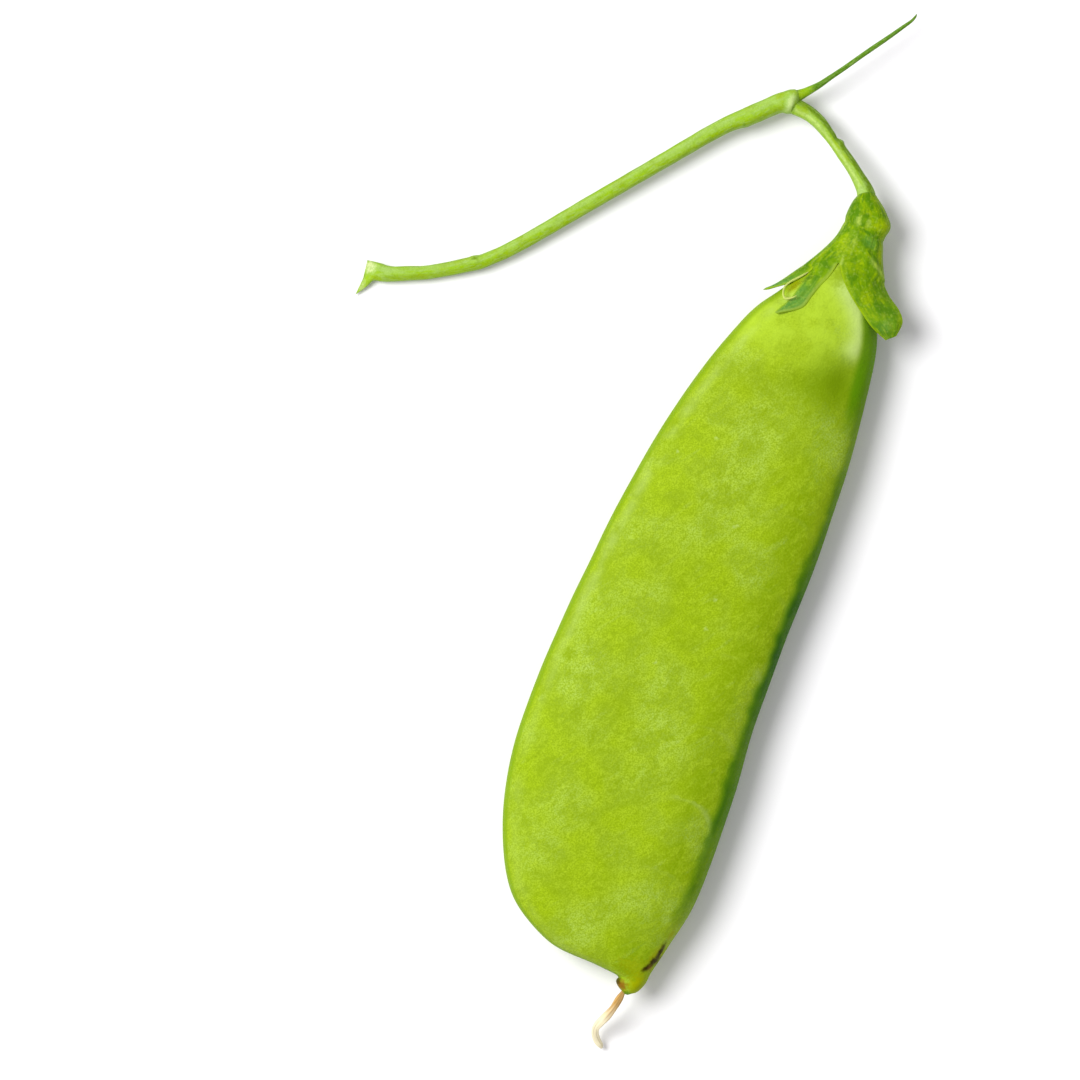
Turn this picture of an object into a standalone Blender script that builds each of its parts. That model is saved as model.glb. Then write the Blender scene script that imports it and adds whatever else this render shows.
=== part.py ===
"""A pea pod picked with its stalk, lying on its side on a surface.

Metres, +Z up. The origin is on that surface, under the middle of the pod. +Y runs along the pod towards its
stalk, and +X across it towards its nearly straight edge, the seam that the seeds hang from.
"""

import bmesh
import bpy
import numpy as np

MM = 0.001
GAP = 0.3  # between neighbouring pieces, in millimetres

# The pod. Sizes are in millimetres.
POD_WIDTH = 22.3
POD_THICKNESS = 8.6
THICKNESS_TAPER = 0.6  # the thickness follows the width to this power
SECTION_POWER = 2.35  # 2 gives an ellipse; more gives flatter faces and steeper sides
BELLY_PRESS = 0.25  # how far the underside is pressed flat where the pod rests
MID_HEIGHT = POD_THICKNESS / 2 - BELLY_PRESS
POD_SECTIONS = 44
POD_SIDES = 32

# The pod's outline from the stalk to the beak: at each section, X and Y on the bulging edge, then on the
# straight edge.
POD_EDGES = (
    (2.5, 41.5, 4.2, 41.5),
    (1.75, 40.4, 5.0, 40.4),
    (0.6, 38.0, 6.0, 38.0),
    (-0.9, 35.5, 6.9, 35.6),
    (-2.6, 33.0, 7.8, 33.2),
    (-5.1, 29.0, 8.9, 29.4),
    (-8.1, 20.0, 9.9, 20.6),
    (-10.1, 10.0, 10.25, 10.8),
    (-11.3, 0.0, 10.05, 1.2),
    (-12.1, -11.0, 10.05, -8.8),
    (-11.95, -19.0, 10.55, -16.4),
    (-10.35, -26.5, 10.65, -23.0),
    (-7.1, -32.7, 10.35, -28.2),
    (-2.1, -35.9, 9.4, -32.6),
    (3.2, -36.5, 8.75, -35.2),
    (5.6, -36.8, 8.6, -36.5),
    (5.65, -37.35, 8.4, -37.1),
    (6.1, -37.85, 8.1, -37.7),
    (6.7, -38.2, 7.55, -38.15),
)

# The calyx: a cup round the pod's neck whose rim grows into five lobes. Its wall's mid surface is given.
CALYX_WALL = 0.3
CALYX_LIFT = 0.35  # how much rounder the cup is than the pod's law gives for its width
CALYX_DRAPE = GAP + CALYX_WALL  # the lobes' mid surface above the pod
CALYX_SIDES = 36
CUP_ROWS = 12
LOBE_ROWS = 8

# The cup from the stalk to the rim: X and Y on the bulging side, X and Y on the straight side, and how far
# the middle of each face is bowed towards the stalk.
CUP_EDGES = (
    (1.75, 44.85, 2.85, 45.5, 0.0),
    (1.45, 44.1, 3.75, 44.8, 0.0),
    (1.3, 43.2, 4.85, 43.8, 0.0),
    (1.25, 42.3, 5.5, 42.8, 0.0),
    (1.25, 41.4, 5.45, 41.7, 0.1),
    (1.1, 40.4, 5.65, 40.6, 0.2),
    (0.7, 39.3, 6.0, 39.5, 0.3),
    (-0.1, 37.8, 6.55, 38.3, 0.6),
    (-0.95, 36.4, 7.0, 37.5, 0.9),
)

# The lobes' outlines, by the step round the rim at which each edge starts. A lobe is its two edges from
# the rim to the tip: X, Y, and the height above the pod's middle plane, or None where it lies on the pod.
BROAD_LOBE = {
    "sides": (0, 10),
    "right": ((7.6, 36.9, 0.5), (8.6, 36.1, 0.9), (9.7, 35.2, 1.2), (10.15, 34.1, 1.4), (9.75, 32.6, 1.6)),
    "left": ((3.4, 36.4, None), (4.7, 35.0, None), (6.0, 33.8, None), (7.3, 32.8, 2.5), (9.1, 32.0, 1.9)),
    "arch": 0.45,
}
SIDE_LOBE = {
    "sides": (10, 15),
    "right": ((1.7, 36.3, None), (1.1, 35.0, None), (0.6, 33.7, None), (-0.1, 32.4, None), (-2.1, 30.8, 3.1)),
    "left": ((-0.3, 35.8, None), (-0.4, 34.9, None), (-0.6, 33.8, None), (-1.0, 32.6, None), (-2.4, 30.9, 3)),
    "arch": 0.2,
}
EDGE_LOBE = {
    "sides": (15, 21),
    "outer": ((-1.6, 35.5), (-2.3, 34.5), (-3.0, 33.6), (-3.6, 33.0), (-4.1, 32.6)),
    "half_height": (1.75, 1.5, 1.2, 0.8, 0.25),
    "inset": (0.5, 0.45, 0.35, 0.25, 0.1),
}
UNDER_SHORTENING = 0.93  # the lobes below the pod are this much shorter than those above it

# Stems and dry remnants. Each point of a centre line is X, Y, Z, radius.
PEDUNCLE = (
    (-7.75, 51.36, 2.6, 1.22),
    (-8.35, 51.1, 2.6, 1.1),
    (-9.0, 50.72, 2.58, 1.0),
    (-9.95, 49.87, 2.5, 0.95),
    (-10.96, 48.9, 2.4, 0.96),
    (-12.95, 47.14, 2.25, 0.82),
    (-14.58, 45.37, 2.15, 0.79),
    (-19.0, 40.04, 1.9, 0.76),
    (-23.27, 34.93, 1.6, 0.75),
    (-28.4, 28.8, 1.25, 0.71),
    (-31.05, 26.12, 1.1, 0.7),
    (-32.53, 25.05, 1.05, 0.74),
    (-36.02, 22.97, 0.92, 0.7),
    (-38.65, 21.84, 0.85, 0.75),
    (-41.2, 21.05, 0.75, 0.73),
    (-41.9, 20.2, 0.6, 0.42),
    (-42.35, 18.4, 0.3, 0.13),
)
PEDICEL = (
    (-6.6, 50.87, 2.72, 0.76),
    (-5.58, 50.7, 2.9, 0.74),
    (-4.37, 50.17, 3.12, 0.7),
    (-2.88, 49.22, 3.4, 0.59),
    (-0.95, 47.92, 3.72, 0.65),
    (0.65, 46.71, 3.95, 0.67),
    (1.9, 45.65, 4.05, 0.78),
)
STALK_TIP = (
    (-7.4, 52.05, 2.7, 0.42),
    (-6.75, 52.75, 2.8, 0.4),
    (-5.77, 53.87, 2.95, 0.32),
    (-5.02, 54.9, 3.05, 0.27),
    (-4.02, 56.27, 3.15, 0.25),
    (-3.02, 57.72, 3.2, 0.24),
    (-2.03, 59.12, 3.2, 0.24),
    (-1.02, 60.52, 3.15, 0.22),
    (-0.02, 61.97, 3.05, 0.19),
    (0.7, 63.0, 2.95, 0.13),
    (0.95, 63.85, 2.85, 0.09),
)
STYLE = (
    (6.68, -38.55, 3.9, 0.22),
    (6.6, -39.0, 3.8, 0.33),
    (6.42, -40.0, 3.5, 0.38),
    (6.1, -41.0, 3.1, 0.44),
    (5.7, -41.9, 2.6, 0.39),
    (5.5, -42.6, 2.1, 0.33),
    (5.65, -43.2, 1.65, 0.32),
    (6.05, -43.75, 1.2, 0.33),
    (6.75, -44.3, 0.8, 0.26),
)
STAMENS = (
    (-1.25, 34.6, 6.75, 0.14),
    (-1.75, 34.0, 6.75, 0.14),
    (-2.1, 33.3, 6.75, 0.14),
    (-1.9, 32.7, 6.85, 0.13),
    (-1.45, 32.5, 7.15, 0.12),
)
TUBE_BEVEL_RESOLUTION = 2

POD_GREEN = (0.38, 0.60, 0.03, 1.0)
STALK_GREEN = (0.33, 0.55, 0.06, 1.0)
TIP_GREEN = (0.12, 0.30, 0.03, 1.0)
CALYX_GREEN = (0.16, 0.38, 0.04, 1.0)
STRAW = (0.72, 0.50, 0.22, 1.0)
CREAM = (0.80, 0.76, 0.50, 1.0)


def clear_scene():
    """Removes the startup scene's objects."""
    for old in list(bpy.data.objects):
        bpy.data.objects.remove(old)


def material(name, colour, roughness):
    """A Principled BSDF of one colour."""
    made = bpy.data.materials.new(name)
    made.use_nodes = True
    shader = made.node_tree.nodes["Principled BSDF"]
    shader.inputs["Base Color"].default_value = colour
    shader.inputs["Roughness"].default_value = roughness
    return made


def add_object(name, data, finish, collection):
    """An object of this mesh or curve, in the pod's collection, with its material."""
    made = bpy.data.objects.new(name, data)
    data.materials.append(finish)
    collection.objects.link(made)
    return made


def smooth_mesh(name, shape):
    """A smooth-shaded mesh from a finished bmesh."""
    bmesh.ops.recalc_face_normals(shape, faces=shape.faces)
    mesh = bpy.data.meshes.new(name)
    shape.to_mesh(mesh)
    shape.free()
    mesh.shade_smooth()
    return mesh


def through(knots, places):
    """A smooth curve through the knots, read at places from 0 at the first knot to 1 at the last.

    It is a Catmull-Rom spline: it passes each knot in the direction of the line between its neighbours."""
    knots = np.asarray(knots, float)
    padded = np.vstack([2 * knots[0] - knots[1], knots, 2 * knots[-1] - knots[-2]])
    along = np.clip(np.asarray(places, float), 0, 1) * (len(knots) - 1)
    first = np.minimum(along.astype(int), len(knots) - 2)
    t = (along - first)[:, None]
    before, start, end, after = (padded[first + i] for i in range(4))
    return 0.5 * (
        2 * start
        + (end - before) * t
        + (2 * before - 5 * start + 4 * end - after) * t**2
        + (3 * start - before - 3 * end + after) * t**3
    )


def half_thickness(width):
    """Half the thickness of the pod where it is this wide."""
    return POD_THICKNESS / 2 * (width / POD_WIDTH) ** THICKNESS_TAPER


def ring(one_edge, other_edge, half_height, angles):
    """A section of the pod or calyx: a superellipse on the chord between its two edges.

    The angle is 0 at the second edge, on the straight side, and a quarter turn at the top."""
    centre = (one_edge + other_edge) / 2
    half_chord = (other_edge - one_edge) / 2
    across = np.sign(np.cos(angles)) * np.abs(np.cos(angles)) ** (2 / SECTION_POWER)
    up = np.sign(np.sin(angles)) * np.abs(np.sin(angles)) ** (2 / SECTION_POWER)
    ground = centre + across[:, None] * half_chord
    return np.column_stack([ground, MID_HEIGHT + half_height * up])


def add_grid(shape, rows, closed):
    """Joins rows of points into faces, round to the first point of each row if the rows are closed."""
    count = len(rows[0])
    for upper, lower in zip(rows, rows[1:]):
        for side in range(count if closed else count - 1):
            after = (side + 1) % count
            shape.faces.new((upper[side], lower[side], lower[after], upper[after]))


def add_pod(finish, collection):
    """The pod, as a loft through its sections with a flat face at each end, pressed flat where it rests."""
    angles = np.linspace(0, 2 * np.pi, POD_SIDES, endpoint=False)
    shape = bmesh.new()
    rows = []
    for edges in through(POD_EDGES, np.linspace(0, 1, POD_SECTIONS)):
        width = np.linalg.norm(edges[2:] - edges[:2])
        points = ring(edges[:2], edges[2:], half_thickness(width), angles)
        points[:, 2] = np.maximum(points[:, 2], 0)
        rows.append([shape.verts.new(point * MM) for point in points])
    add_grid(shape, rows, closed=True)
    shape.faces.new(rows[0])
    shape.faces.new(rows[-1])
    return add_object("pod", smooth_mesh("pod", shape), finish, collection)


def above_pod(x, y):
    """The height over the pod's middle plane of a lobe that lies on the pod at X and Y."""
    edges = through(POD_EDGES, np.linspace(0, 1, 200))[::-1]
    bulging = np.interp(y, edges[:, 1], edges[:, 0])
    straight = np.interp(y, edges[:, 3], edges[:, 2])
    half_width = (straight - bulging) / 2 + CALYX_DRAPE
    share = min(abs(x - (straight + bulging) / 2) / half_width, 1)
    rise = half_thickness(straight - bulging) + CALYX_DRAPE
    return rise * (1 - share**SECTION_POWER) ** (1 / SECTION_POWER)


def edge_of(points, start):
    """A lobe's edge from its start on the rim, with None read as the height at which it lies on the pod."""
    knots = [start]
    for x, y, height in points:
        rise = above_pod(x, y) if height is None else height
        knots.append((x, y, MID_HEIGHT + rise))
    return through(knots, np.linspace(0, 1, LOBE_ROWS + 1))[1:]


def lobe_rows(right, left, arch, count):
    """Rows of points from one edge of a lobe to the other, raised in the middle by arch times a parabola."""
    across = np.linspace(0, 1, count)[:, None]
    rows = []
    for one, other, lift in zip(right, left, arch):
        rows.append(one + (other - one) * across + lift * 4 * across * (1 - across))
    return rows


def broad_or_side_lobe(lobe, rim):
    """The rows of a lobe over the pod, from the rim's points to its tip."""
    first, last = lobe["sides"]
    right = edge_of(lobe["right"], rim[first])
    left = edge_of(lobe["left"], rim[last])
    fade = np.linspace(1, 0.2, LOBE_ROWS)[:, None]
    arch = fade * np.array([0, 0, lobe["arch"]])
    return lobe_rows(right, left, arch, last - first + 1)


def edge_lobe(rim):
    """The rows of the lobe that folds round the pod's bulging edge, from the rim's points to its tip."""
    first, last = EDGE_LOBE["sides"]
    knots = []
    for (x, y), half, inset in zip(EDGE_LOBE["outer"], EDGE_LOBE["half_height"], EDGE_LOBE["inset"]):
        knots.append((x, y, half, inset))
    start = rim[(first + last) // 2]
    half_rim = (rim[first][2] - rim[last][2]) / 2
    inset_rim = rim[first][0] - start[0]
    knots.insert(0, (start[0], start[1], half_rim, inset_rim))
    x, y, half, inset = through(knots, np.linspace(0, 1, LOBE_ROWS + 1))[1:].T
    upper = np.column_stack([x + inset, y + inset * 0.5, MID_HEIGHT + half])
    lower = np.column_stack([x + inset, y + inset * 0.5, MID_HEIGHT - half])
    arch = np.column_stack([-inset, -inset * 0.5, 0 * inset])
    return lobe_rows(upper, lower, arch, last - first + 1)


def mirrored(rows, rim):
    """Rows of a lobe turned over to the pod's underside and drawn in towards the rim."""
    turned = []
    for row in rows:
        row = row[::-1] * (1, 1, -1) + (0, 0, 2 * MID_HEIGHT)
        turned.append(rim + (row - rim) * UNDER_SHORTENING)
    return turned


def add_calyx(finish, collection):
    """The calyx: a sheet that closes over the pod's neck and ends in five lobes, given its thickness."""
    angles = np.linspace(0, 2 * np.pi, CALYX_SIDES, endpoint=False)
    shape = bmesh.new()
    rows = []
    for edges in through(CUP_EDGES, np.linspace(0, 1, CUP_ROWS)):
        width = np.linalg.norm(edges[2:4] - edges[:2])
        points = ring(edges[:2], edges[2:4], half_thickness(width) + CALYX_LIFT, angles)
        points[:, 1] += edges[4] * np.sin(angles) ** 2
        rows.append([shape.verts.new(point * MM) for point in points])
    add_grid(shape, rows, closed=True)
    shape.faces.new(rows[0])

    rim = np.vstack([points, points[:1]])
    rim_corners = rows[-1] + rows[-1][:1]
    broad = broad_or_side_lobe(BROAD_LOBE, rim)
    side = broad_or_side_lobe(SIDE_LOBE, rim)
    lobes = [(BROAD_LOBE["sides"], broad), (SIDE_LOBE["sides"], side), (EDGE_LOBE["sides"], edge_lobe(rim))]
    for (first, last), rows_above in lobes[:2]:
        under = (CALYX_SIDES - last, CALYX_SIDES - first)
        lobes.append((under, mirrored(rows_above, rim[under[0] : under[1] + 1])))
    for (first, last), lobe in lobes:
        sheet = [rim_corners[first : last + 1]]
        sheet += [[shape.verts.new(point * MM) for point in row] for row in lobe]
        add_grid(shape, sheet, closed=False)
    calyx = add_object("calyx", smooth_mesh("calyx", shape), finish, collection)
    thickness = calyx.modifiers.new("Thickness", "SOLIDIFY")
    thickness.thickness = CALYX_WALL * MM
    thickness.offset = 0
    return calyx


def add_tube(name, knots, points, finish, collection):
    """A round stem along a smooth curve through the knots, with the knots' own radii."""
    curve = bpy.data.curves.new(name, "CURVE")
    curve.dimensions = "3D"
    curve.bevel_depth = MM
    curve.bevel_resolution = TUBE_BEVEL_RESOLUTION
    curve.use_fill_caps = True
    line = curve.splines.new("POLY")
    line.points.add(points - 1)
    for point, (x, y, z, radius) in zip(line.points, through(knots, np.linspace(0, 1, points))):
        point.co = (x * MM, y * MM, z * MM, 1)
        point.radius = radius
    return add_object(name, curve, finish, collection)


def main():
    clear_scene()
    collection = bpy.data.collections.new("pea_pod")
    bpy.context.scene.collection.children.link(collection)
    stalk_skin = material("stalk_skin", STALK_GREEN, 0.5)
    add_pod(material("pod_skin", POD_GREEN, 0.45), collection)
    add_calyx(material("calyx_skin", CALYX_GREEN, 0.55), collection)
    add_tube("pedicel", PEDICEL, 14, stalk_skin, collection)
    add_tube("peduncle", PEDUNCLE, 36, stalk_skin, collection)
    add_tube("stalk_tip", STALK_TIP, 22, material("stalk_tip_skin", TIP_GREEN, 0.5), collection)
    add_tube("style_remnant", STYLE, 18, material("dry_style", STRAW, 0.7), collection)
    add_tube("stamen_remnant", STAMENS, 10, material("dry_stamens", CREAM, 0.7), collection)


main()
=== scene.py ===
"""The finished look of a picked pea pod: its skin, calyx, stalk and dry flower remnants, with a studio stage.

Laid out as an add-on and run as a script. Tables of sizes are in millimetres and become metres in the meshes.
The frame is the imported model's: +Y along the pod to its stalk, +X across it to its nearly straight edge, +Z
up, and the origin on the surface that the pod lies on.
"""

import bpy
import numpy as np
from bpy.props import FloatProperty, FloatVectorProperty, PointerProperty
from bpy.types import Operator, Panel, PropertyGroup
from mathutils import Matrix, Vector


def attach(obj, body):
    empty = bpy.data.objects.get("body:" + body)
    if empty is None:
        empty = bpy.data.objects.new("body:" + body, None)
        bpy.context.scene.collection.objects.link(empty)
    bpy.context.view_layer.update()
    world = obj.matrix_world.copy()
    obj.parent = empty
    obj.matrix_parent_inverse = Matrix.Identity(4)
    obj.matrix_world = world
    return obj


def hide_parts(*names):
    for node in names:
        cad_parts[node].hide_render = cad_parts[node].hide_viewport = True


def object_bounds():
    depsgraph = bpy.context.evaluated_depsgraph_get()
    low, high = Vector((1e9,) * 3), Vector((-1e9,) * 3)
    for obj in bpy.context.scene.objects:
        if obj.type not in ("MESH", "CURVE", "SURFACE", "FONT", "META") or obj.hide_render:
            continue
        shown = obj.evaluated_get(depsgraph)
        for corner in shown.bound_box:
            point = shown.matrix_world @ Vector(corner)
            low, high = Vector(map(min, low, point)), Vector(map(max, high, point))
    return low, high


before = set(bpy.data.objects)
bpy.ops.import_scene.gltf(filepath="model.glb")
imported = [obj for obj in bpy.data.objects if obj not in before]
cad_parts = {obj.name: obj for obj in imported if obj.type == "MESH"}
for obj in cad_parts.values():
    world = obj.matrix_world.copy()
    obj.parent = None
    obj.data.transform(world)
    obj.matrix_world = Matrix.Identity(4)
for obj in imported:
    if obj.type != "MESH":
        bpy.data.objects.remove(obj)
CAD_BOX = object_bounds()

bl_info = {
    "name": "Pea Pod",
    "version": (1, 0, 0),
    "blender": (4, 5, 0),
    "location": "View3D > Sidebar > Pea Pod",
    "description": "Builds a picked pea pod with its calyx, stalk and dry flower remnants",
    "category": "Add Mesh",
}

MM = 0.001
BODY = "root"

# ---------------------------------------------------------------- the pod's shape, in millimetres
POD_WIDTH = 22.3
POD_THICKNESS = 8.6
THICKNESS_TAPER = 0.6  # the thickness follows the width to this power
SECTION_POWER = 2.5  # 2 gives an ellipse; more gives flatter faces and steeper sides
MID_HEIGHT = POD_THICKNESS / 2 - 0.25
RELIEF_ROOM = 0.2  # the skin starts this far inside the pod, so that its relief stays inside too
FINE_STEPS = 2000  # for reading a curve at even steps
POD_SECTIONS = 400
POD_SIDES = 216

# X and Y on the bulging edge, then on the straight edge, from the stalk to the beak.
POD_EDGES = (
    (2.5, 41.5, 4.2, 41.5),
    (1.75, 40.4, 5.0, 40.4),
    (0.6, 38.0, 6.0, 38.0),
    (-0.9, 35.5, 6.9, 35.6),
    (-2.6, 33.0, 7.8, 33.2),
    (-5.1, 29.0, 8.9, 29.4),
    (-8.1, 20.0, 9.9, 20.6),
    (-10.1, 10.0, 10.25, 10.8),
    (-11.3, 0.0, 10.05, 1.2),
    (-12.1, -11.0, 10.05, -8.8),
    (-11.95, -19.0, 10.55, -16.4),
    (-10.35, -26.5, 10.65, -23.0),
    (-7.1, -32.7, 10.35, -28.2),
    (-2.1, -35.9, 9.4, -32.6),
    (3.2, -36.5, 8.75, -35.2),
    (5.6, -36.8, 8.6, -36.5),
    (5.65, -37.35, 8.4, -37.1),
    (6.1, -37.85, 8.1, -37.7),
    (6.7, -38.2, 7.55, -38.15),
    (6.95, -38.3, 7.35, -38.28),
)
SEED_X = 6.0  # the seeds hang in a row from the straight edge
FIRST_SEED_Y = -29.1
SEED_CLEARNESS = (0.25, 1.0, 0.4, 0.75, 0.2, 0.15, 0.1, 0.05)  # how well each seed shows, from the beak
SEED_RIM = 3.8  # radius of the fine ridge that a seed presses into the skin
SEED_RIM_WIDTH = 0.26
SEED_RIM_HEIGHT = 0.025
SEED_RIM_TURN = 1.0  # the ridge is clearest this many radians round from the straight side
DOME_WIDTH = 3.0  # how far a seed's swelling reaches
BULGING_RIB = 0.6  # the rib on the bulging edge, as a share of the straight edge's
GROOVE_SHARE = 0.35  # the groove beside the straight edge's rib, as a share of the rib's height
UNEVEN_HEIGHT = 0.05
HOLLOW = (6.7, 26.3, 1.5, 2.6)  # a dent under the shoulder: X, Y and its half sizes
# Painted shade in and round the dent: X, Y and its half sizes.
HOLLOW_SHADE = (6.1, 26.2, 3.3, 3.3)  # the darker skin in and round it
SHOULDER = ((3.6, 35.5), (5.2, 33.9), (6.2, 32.4), (6.6, 31.2), (6.5, 30.0))  # a fold beside the neck
SHOULDER_HEIGHT = 0.24
SHOULDER_WIDTH = 0.95
# The painted shade of the steep wall along the straight edge: Y, how dark it is, how far it reaches over
# the face, and how much of it a paler strip at the seam takes.
WALL = (
    (-30.5, 0.0, 1.2, 0.6),
    (-28.5, 0.3, 1.2, 0.6),
    (-26.5, 0.45, 1.2, 0.6),
    (-22.0, 0.5, 1.15, 0.6),
    (-19.0, 0.7, 1.2, 0.5),
    (-16.0, 0.75, 1.1, 0.4),
    (-12.0, 0.6, 1.0, 0.3),
    (-10.0, 0.6, 0.9, 0.0),
    (-7.0, 0.75, 0.8, 0.0),
    (-4.0, 1.0, 0.7, 0.0),
    (2.0, 1.0, 0.7, 0.0),
    (6.0, 0.7, 0.9, 0.0),
    (10.0, 0.6, 0.7, 0.0),
    (15.0, 0.5, 0.5, 0.0),
    (20.0, 0.35, 0.5, 0.0),
    (26.0, 0.0, 0.4, 0.0),
)

# ---------------------------------------------------------------- the calyx, in millimetres
CALYX_WALL = 0.24
CALYX_LIFT = 0.35  # how much rounder the cup is than the pod's law gives for its width
RIM_LIFT = -0.4  # the same at the rim, which bows towards the stalk, where the neck is thinner
CALYX_DRAPE = 0.15  # the lobes' mid surface above the pod along their middle
MARGIN_DRAPE = 0.04  # and along their edges
STEPS_ROUND = 36  # the lobes start at these steps round the rim
STEP_CELLS = 3
SINUS_STEPS = (0, 10, 15, 21, 26)  # where two lobes part
EDGE_THINNING = (0.2, 0.45, 0.75, 1.0)  # share of the wall's thickness, cell by cell in from a lobe's edge
CUP_ROWS = 34
LOBE_ROWS = 26

# X and Y on the bulging side, X and Y on the straight side, and the bow of each face towards the stalk.
CUP_EDGES = (
    (1.75, 44.85, 2.85, 45.5, 0.0),
    (1.45, 44.1, 3.75, 44.8, 0.0),
    (1.3, 43.2, 4.85, 43.8, 0.0),
    (1.25, 42.3, 5.5, 42.8, 0.0),
    (1.25, 41.4, 5.45, 41.7, 0.1),
    (1.1, 40.4, 5.65, 40.6, 0.2),
    (0.7, 39.3, 6.0, 39.5, 0.3),
    (-0.1, 37.8, 6.55, 38.3, 0.6),
    (-0.95, 36.4, 7.0, 37.5, 0.9),
)
# A lobe's two edges from the rim to its tip: X, Y, and the height above the pod's middle plane, or None where
# it lies on the pod.
BROAD_LOBE = {
    "sides": (0, 10),
    "right": ((7.3, 36.95, 0.5), (8.2, 36.1, 0.9), (9.4, 35.25, 1.2), (10.12, 34.2, 1.4), (9.95, 32.7, 1.6)),
    "left": ((3.1, 36.1, None), (4.5, 34.75, None), (6.0, 33.6, None), (7.4, 32.65, 2.4), (9.1, 31.95, 1.9)),
    "arch": 0.55,
    "blue": 0.1,
}
SIDE_LOBE = {
    "sides": (10, 15),
    "right": ((1.7, 36.2, None), (1.15, 34.9, None), (0.65, 33.5, None), (0.1, 32.1, None), (-2.05, 30.7, 3)),
    "left": (
        (-0.45, 35.8, None),
        (-0.7, 34.8, None),
        (-0.95, 33.7, None),
        (-1.35, 32.5, None),
        (-2.3, 30.8, 3),
    ),
    "arch": 0.25,
    "blue": 0.8,
}
# The lobe round the bulging edge: X and Y of its outside, half its height and its depth.
EDGE_LOBE = {
    "sides": (15, 21),
    "outline": (
        (-1.6, 35.5, 1.55, 1.45),
        (-2.3, 34.5, 1.2, 1.55),
        (-3.0, 33.6, 0.9, 1.4),
        (-3.6, 33.0, 0.6, 0.7),
        (-4.1, 32.6, 0.25, 0.15),
    ),
    "blue": 1.0,
}
UNDER_SHORTENING = 0.93
FOLD_START = (3.9, 40.15)  # the edge of a lobe folded over its neighbour, from inside the cup to the rim
FOLD_END = (7.1, 37.9)
FOLD_DEPTH = 0.09
WAIST_X = 2.2
WAIST_Y = 41.7  # the groove between the cup's head and its wall, at WAIST_X
WAIST_SLOPE = -0.18  # its fall towards the straight side
WAIST_DEPTH = 0.12
VEINS = 15
# The lumps of the cup's head: X, Y, how much shorter than wide, width and height.
CUP_LUMPS = ((5.5, 42.7, 1.2, 0.9, 0.16), (2.6, 42.9, 1.0, 0.8, 0.128), (4.1, 43.9, 1.0, 0.7, 0.08))
CALYX_MASKS = ("margin", "blue", "crease", "streak", "lobe", "line")

# ---------------------------------------------------------------- stems and remnants, in millimetres
# Each knot of a centre line is X, Y, Z, radius.
PEDUNCLE = (
    (-7.15, 51.4, 2.65, 0.4),
    (-7.4, 51.4, 2.6, 1.0),
    (-7.8, 51.36, 2.6, 1.24),
    (-8.35, 51.1, 2.6, 1.12),
    (-9.0, 50.72, 2.58, 1.0),
    (-9.95, 49.87, 2.5, 0.95),
    (-10.96, 48.9, 2.4, 0.96),
    (-12.95, 47.14, 2.25, 0.82),
    (-14.58, 45.37, 2.15, 0.79),
    (-16.78, 42.72, 2.03, 0.77),
    (-19.0, 40.04, 1.9, 0.75),
    (-23.27, 34.93, 1.6, 0.74),
    (-28.4, 28.8, 1.25, 0.7),
    (-31.05, 26.12, 1.1, 0.69),
    (-32.53, 25.05, 1.05, 0.72),
    (-36.02, 22.97, 0.92, 0.69),
    (-38.65, 21.84, 0.85, 0.74),
)
# The torn end: X and Y on its upper edge, X and Y on its lower edge, mid height, half height, and how far the
# middle of the section is drawn back along the stalk.
HEEL = (
    (-40.0, 22.15, -40.1, 20.45, 0.78, 0.72, 0.0),
    (-41.0, 22.1, -41.1, 20.2, 0.7, 0.64, 0.05),
    (-41.6, 22.05, -41.45, 19.6, 0.6, 0.5, 0.15),
    (-42.05, 22.0, -41.85, 18.95, 0.5, 0.38, 0.3),
    (-42.4, 21.95, -42.36, 18.25, 0.38, 0.28, 0.4),
)
PEDICEL = (
    (-7.7, 51.0, 2.62, 0.3),
    (-7.45, 50.97, 2.64, 0.8),
    (-6.5, 50.88, 2.74, 0.8),
    (-5.58, 50.7, 2.9, 0.75),
    (-4.37, 50.17, 3.12, 0.7),
    (-2.88, 49.22, 3.4, 0.59),
    (-0.95, 47.92, 3.72, 0.65),
    (0.65, 46.71, 3.95, 0.67),
    (1.9, 45.6, 4.05, 0.82),
    (2.5, 44.8, 4.05, 0.9),
    (2.8, 44.4, 4.05, 0.3),
)
# Bumps and notches in plan: X, Y, width, height.
LEAF_SCARS = ((-32.3, 25.7, 0.45, 0.12), (-11.2, 47.6, 0.5, 0.08))
BRACT_SCAR = ((-1.75, 49.15, 0.32, 0.17), (-2.35, 49.45, 0.26, -0.13))
COLLAR_X = -7.85
STALK_TIP = (
    (-7.95, 51.6, 2.65, 0.2),
    (-7.55, 52.0, 2.7, 0.55),
    (-6.77, 52.75, 2.8, 0.44),
    (-5.77, 53.87, 2.95, 0.32),
    (-5.02, 54.9, 3.05, 0.27),
    (-4.02, 56.27, 3.15, 0.25),
    (-3.02, 57.72, 3.2, 0.24),
    (-2.03, 59.12, 3.2, 0.24),
    (-1.02, 60.52, 3.15, 0.22),
    (-0.02, 61.97, 3.05, 0.19),
    (0.68, 63.0, 2.95, 0.15),
    (0.9, 63.55, 2.88, 0.11),
    (0.93, 63.83, 2.85, 0.04),
)
STYLE = (
    (6.85, -37.8, 3.95, 0.16),
    (6.75, -38.35, 3.9, 0.21),
    (6.62, -39.0, 3.8, 0.34),
    (6.42, -40.0, 3.5, 0.38),
    (6.1, -41.0, 3.1, 0.46),
    (5.7, -41.9, 2.6, 0.4),
    (5.5, -42.6, 2.1, 0.32),
    (5.65, -43.2, 1.65, 0.31),
    (6.05, -43.75, 1.2, 0.33),
    (6.5, -44.1, 0.92, 0.3),
    (6.8, -44.35, 0.75, 0.12),
)
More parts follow.
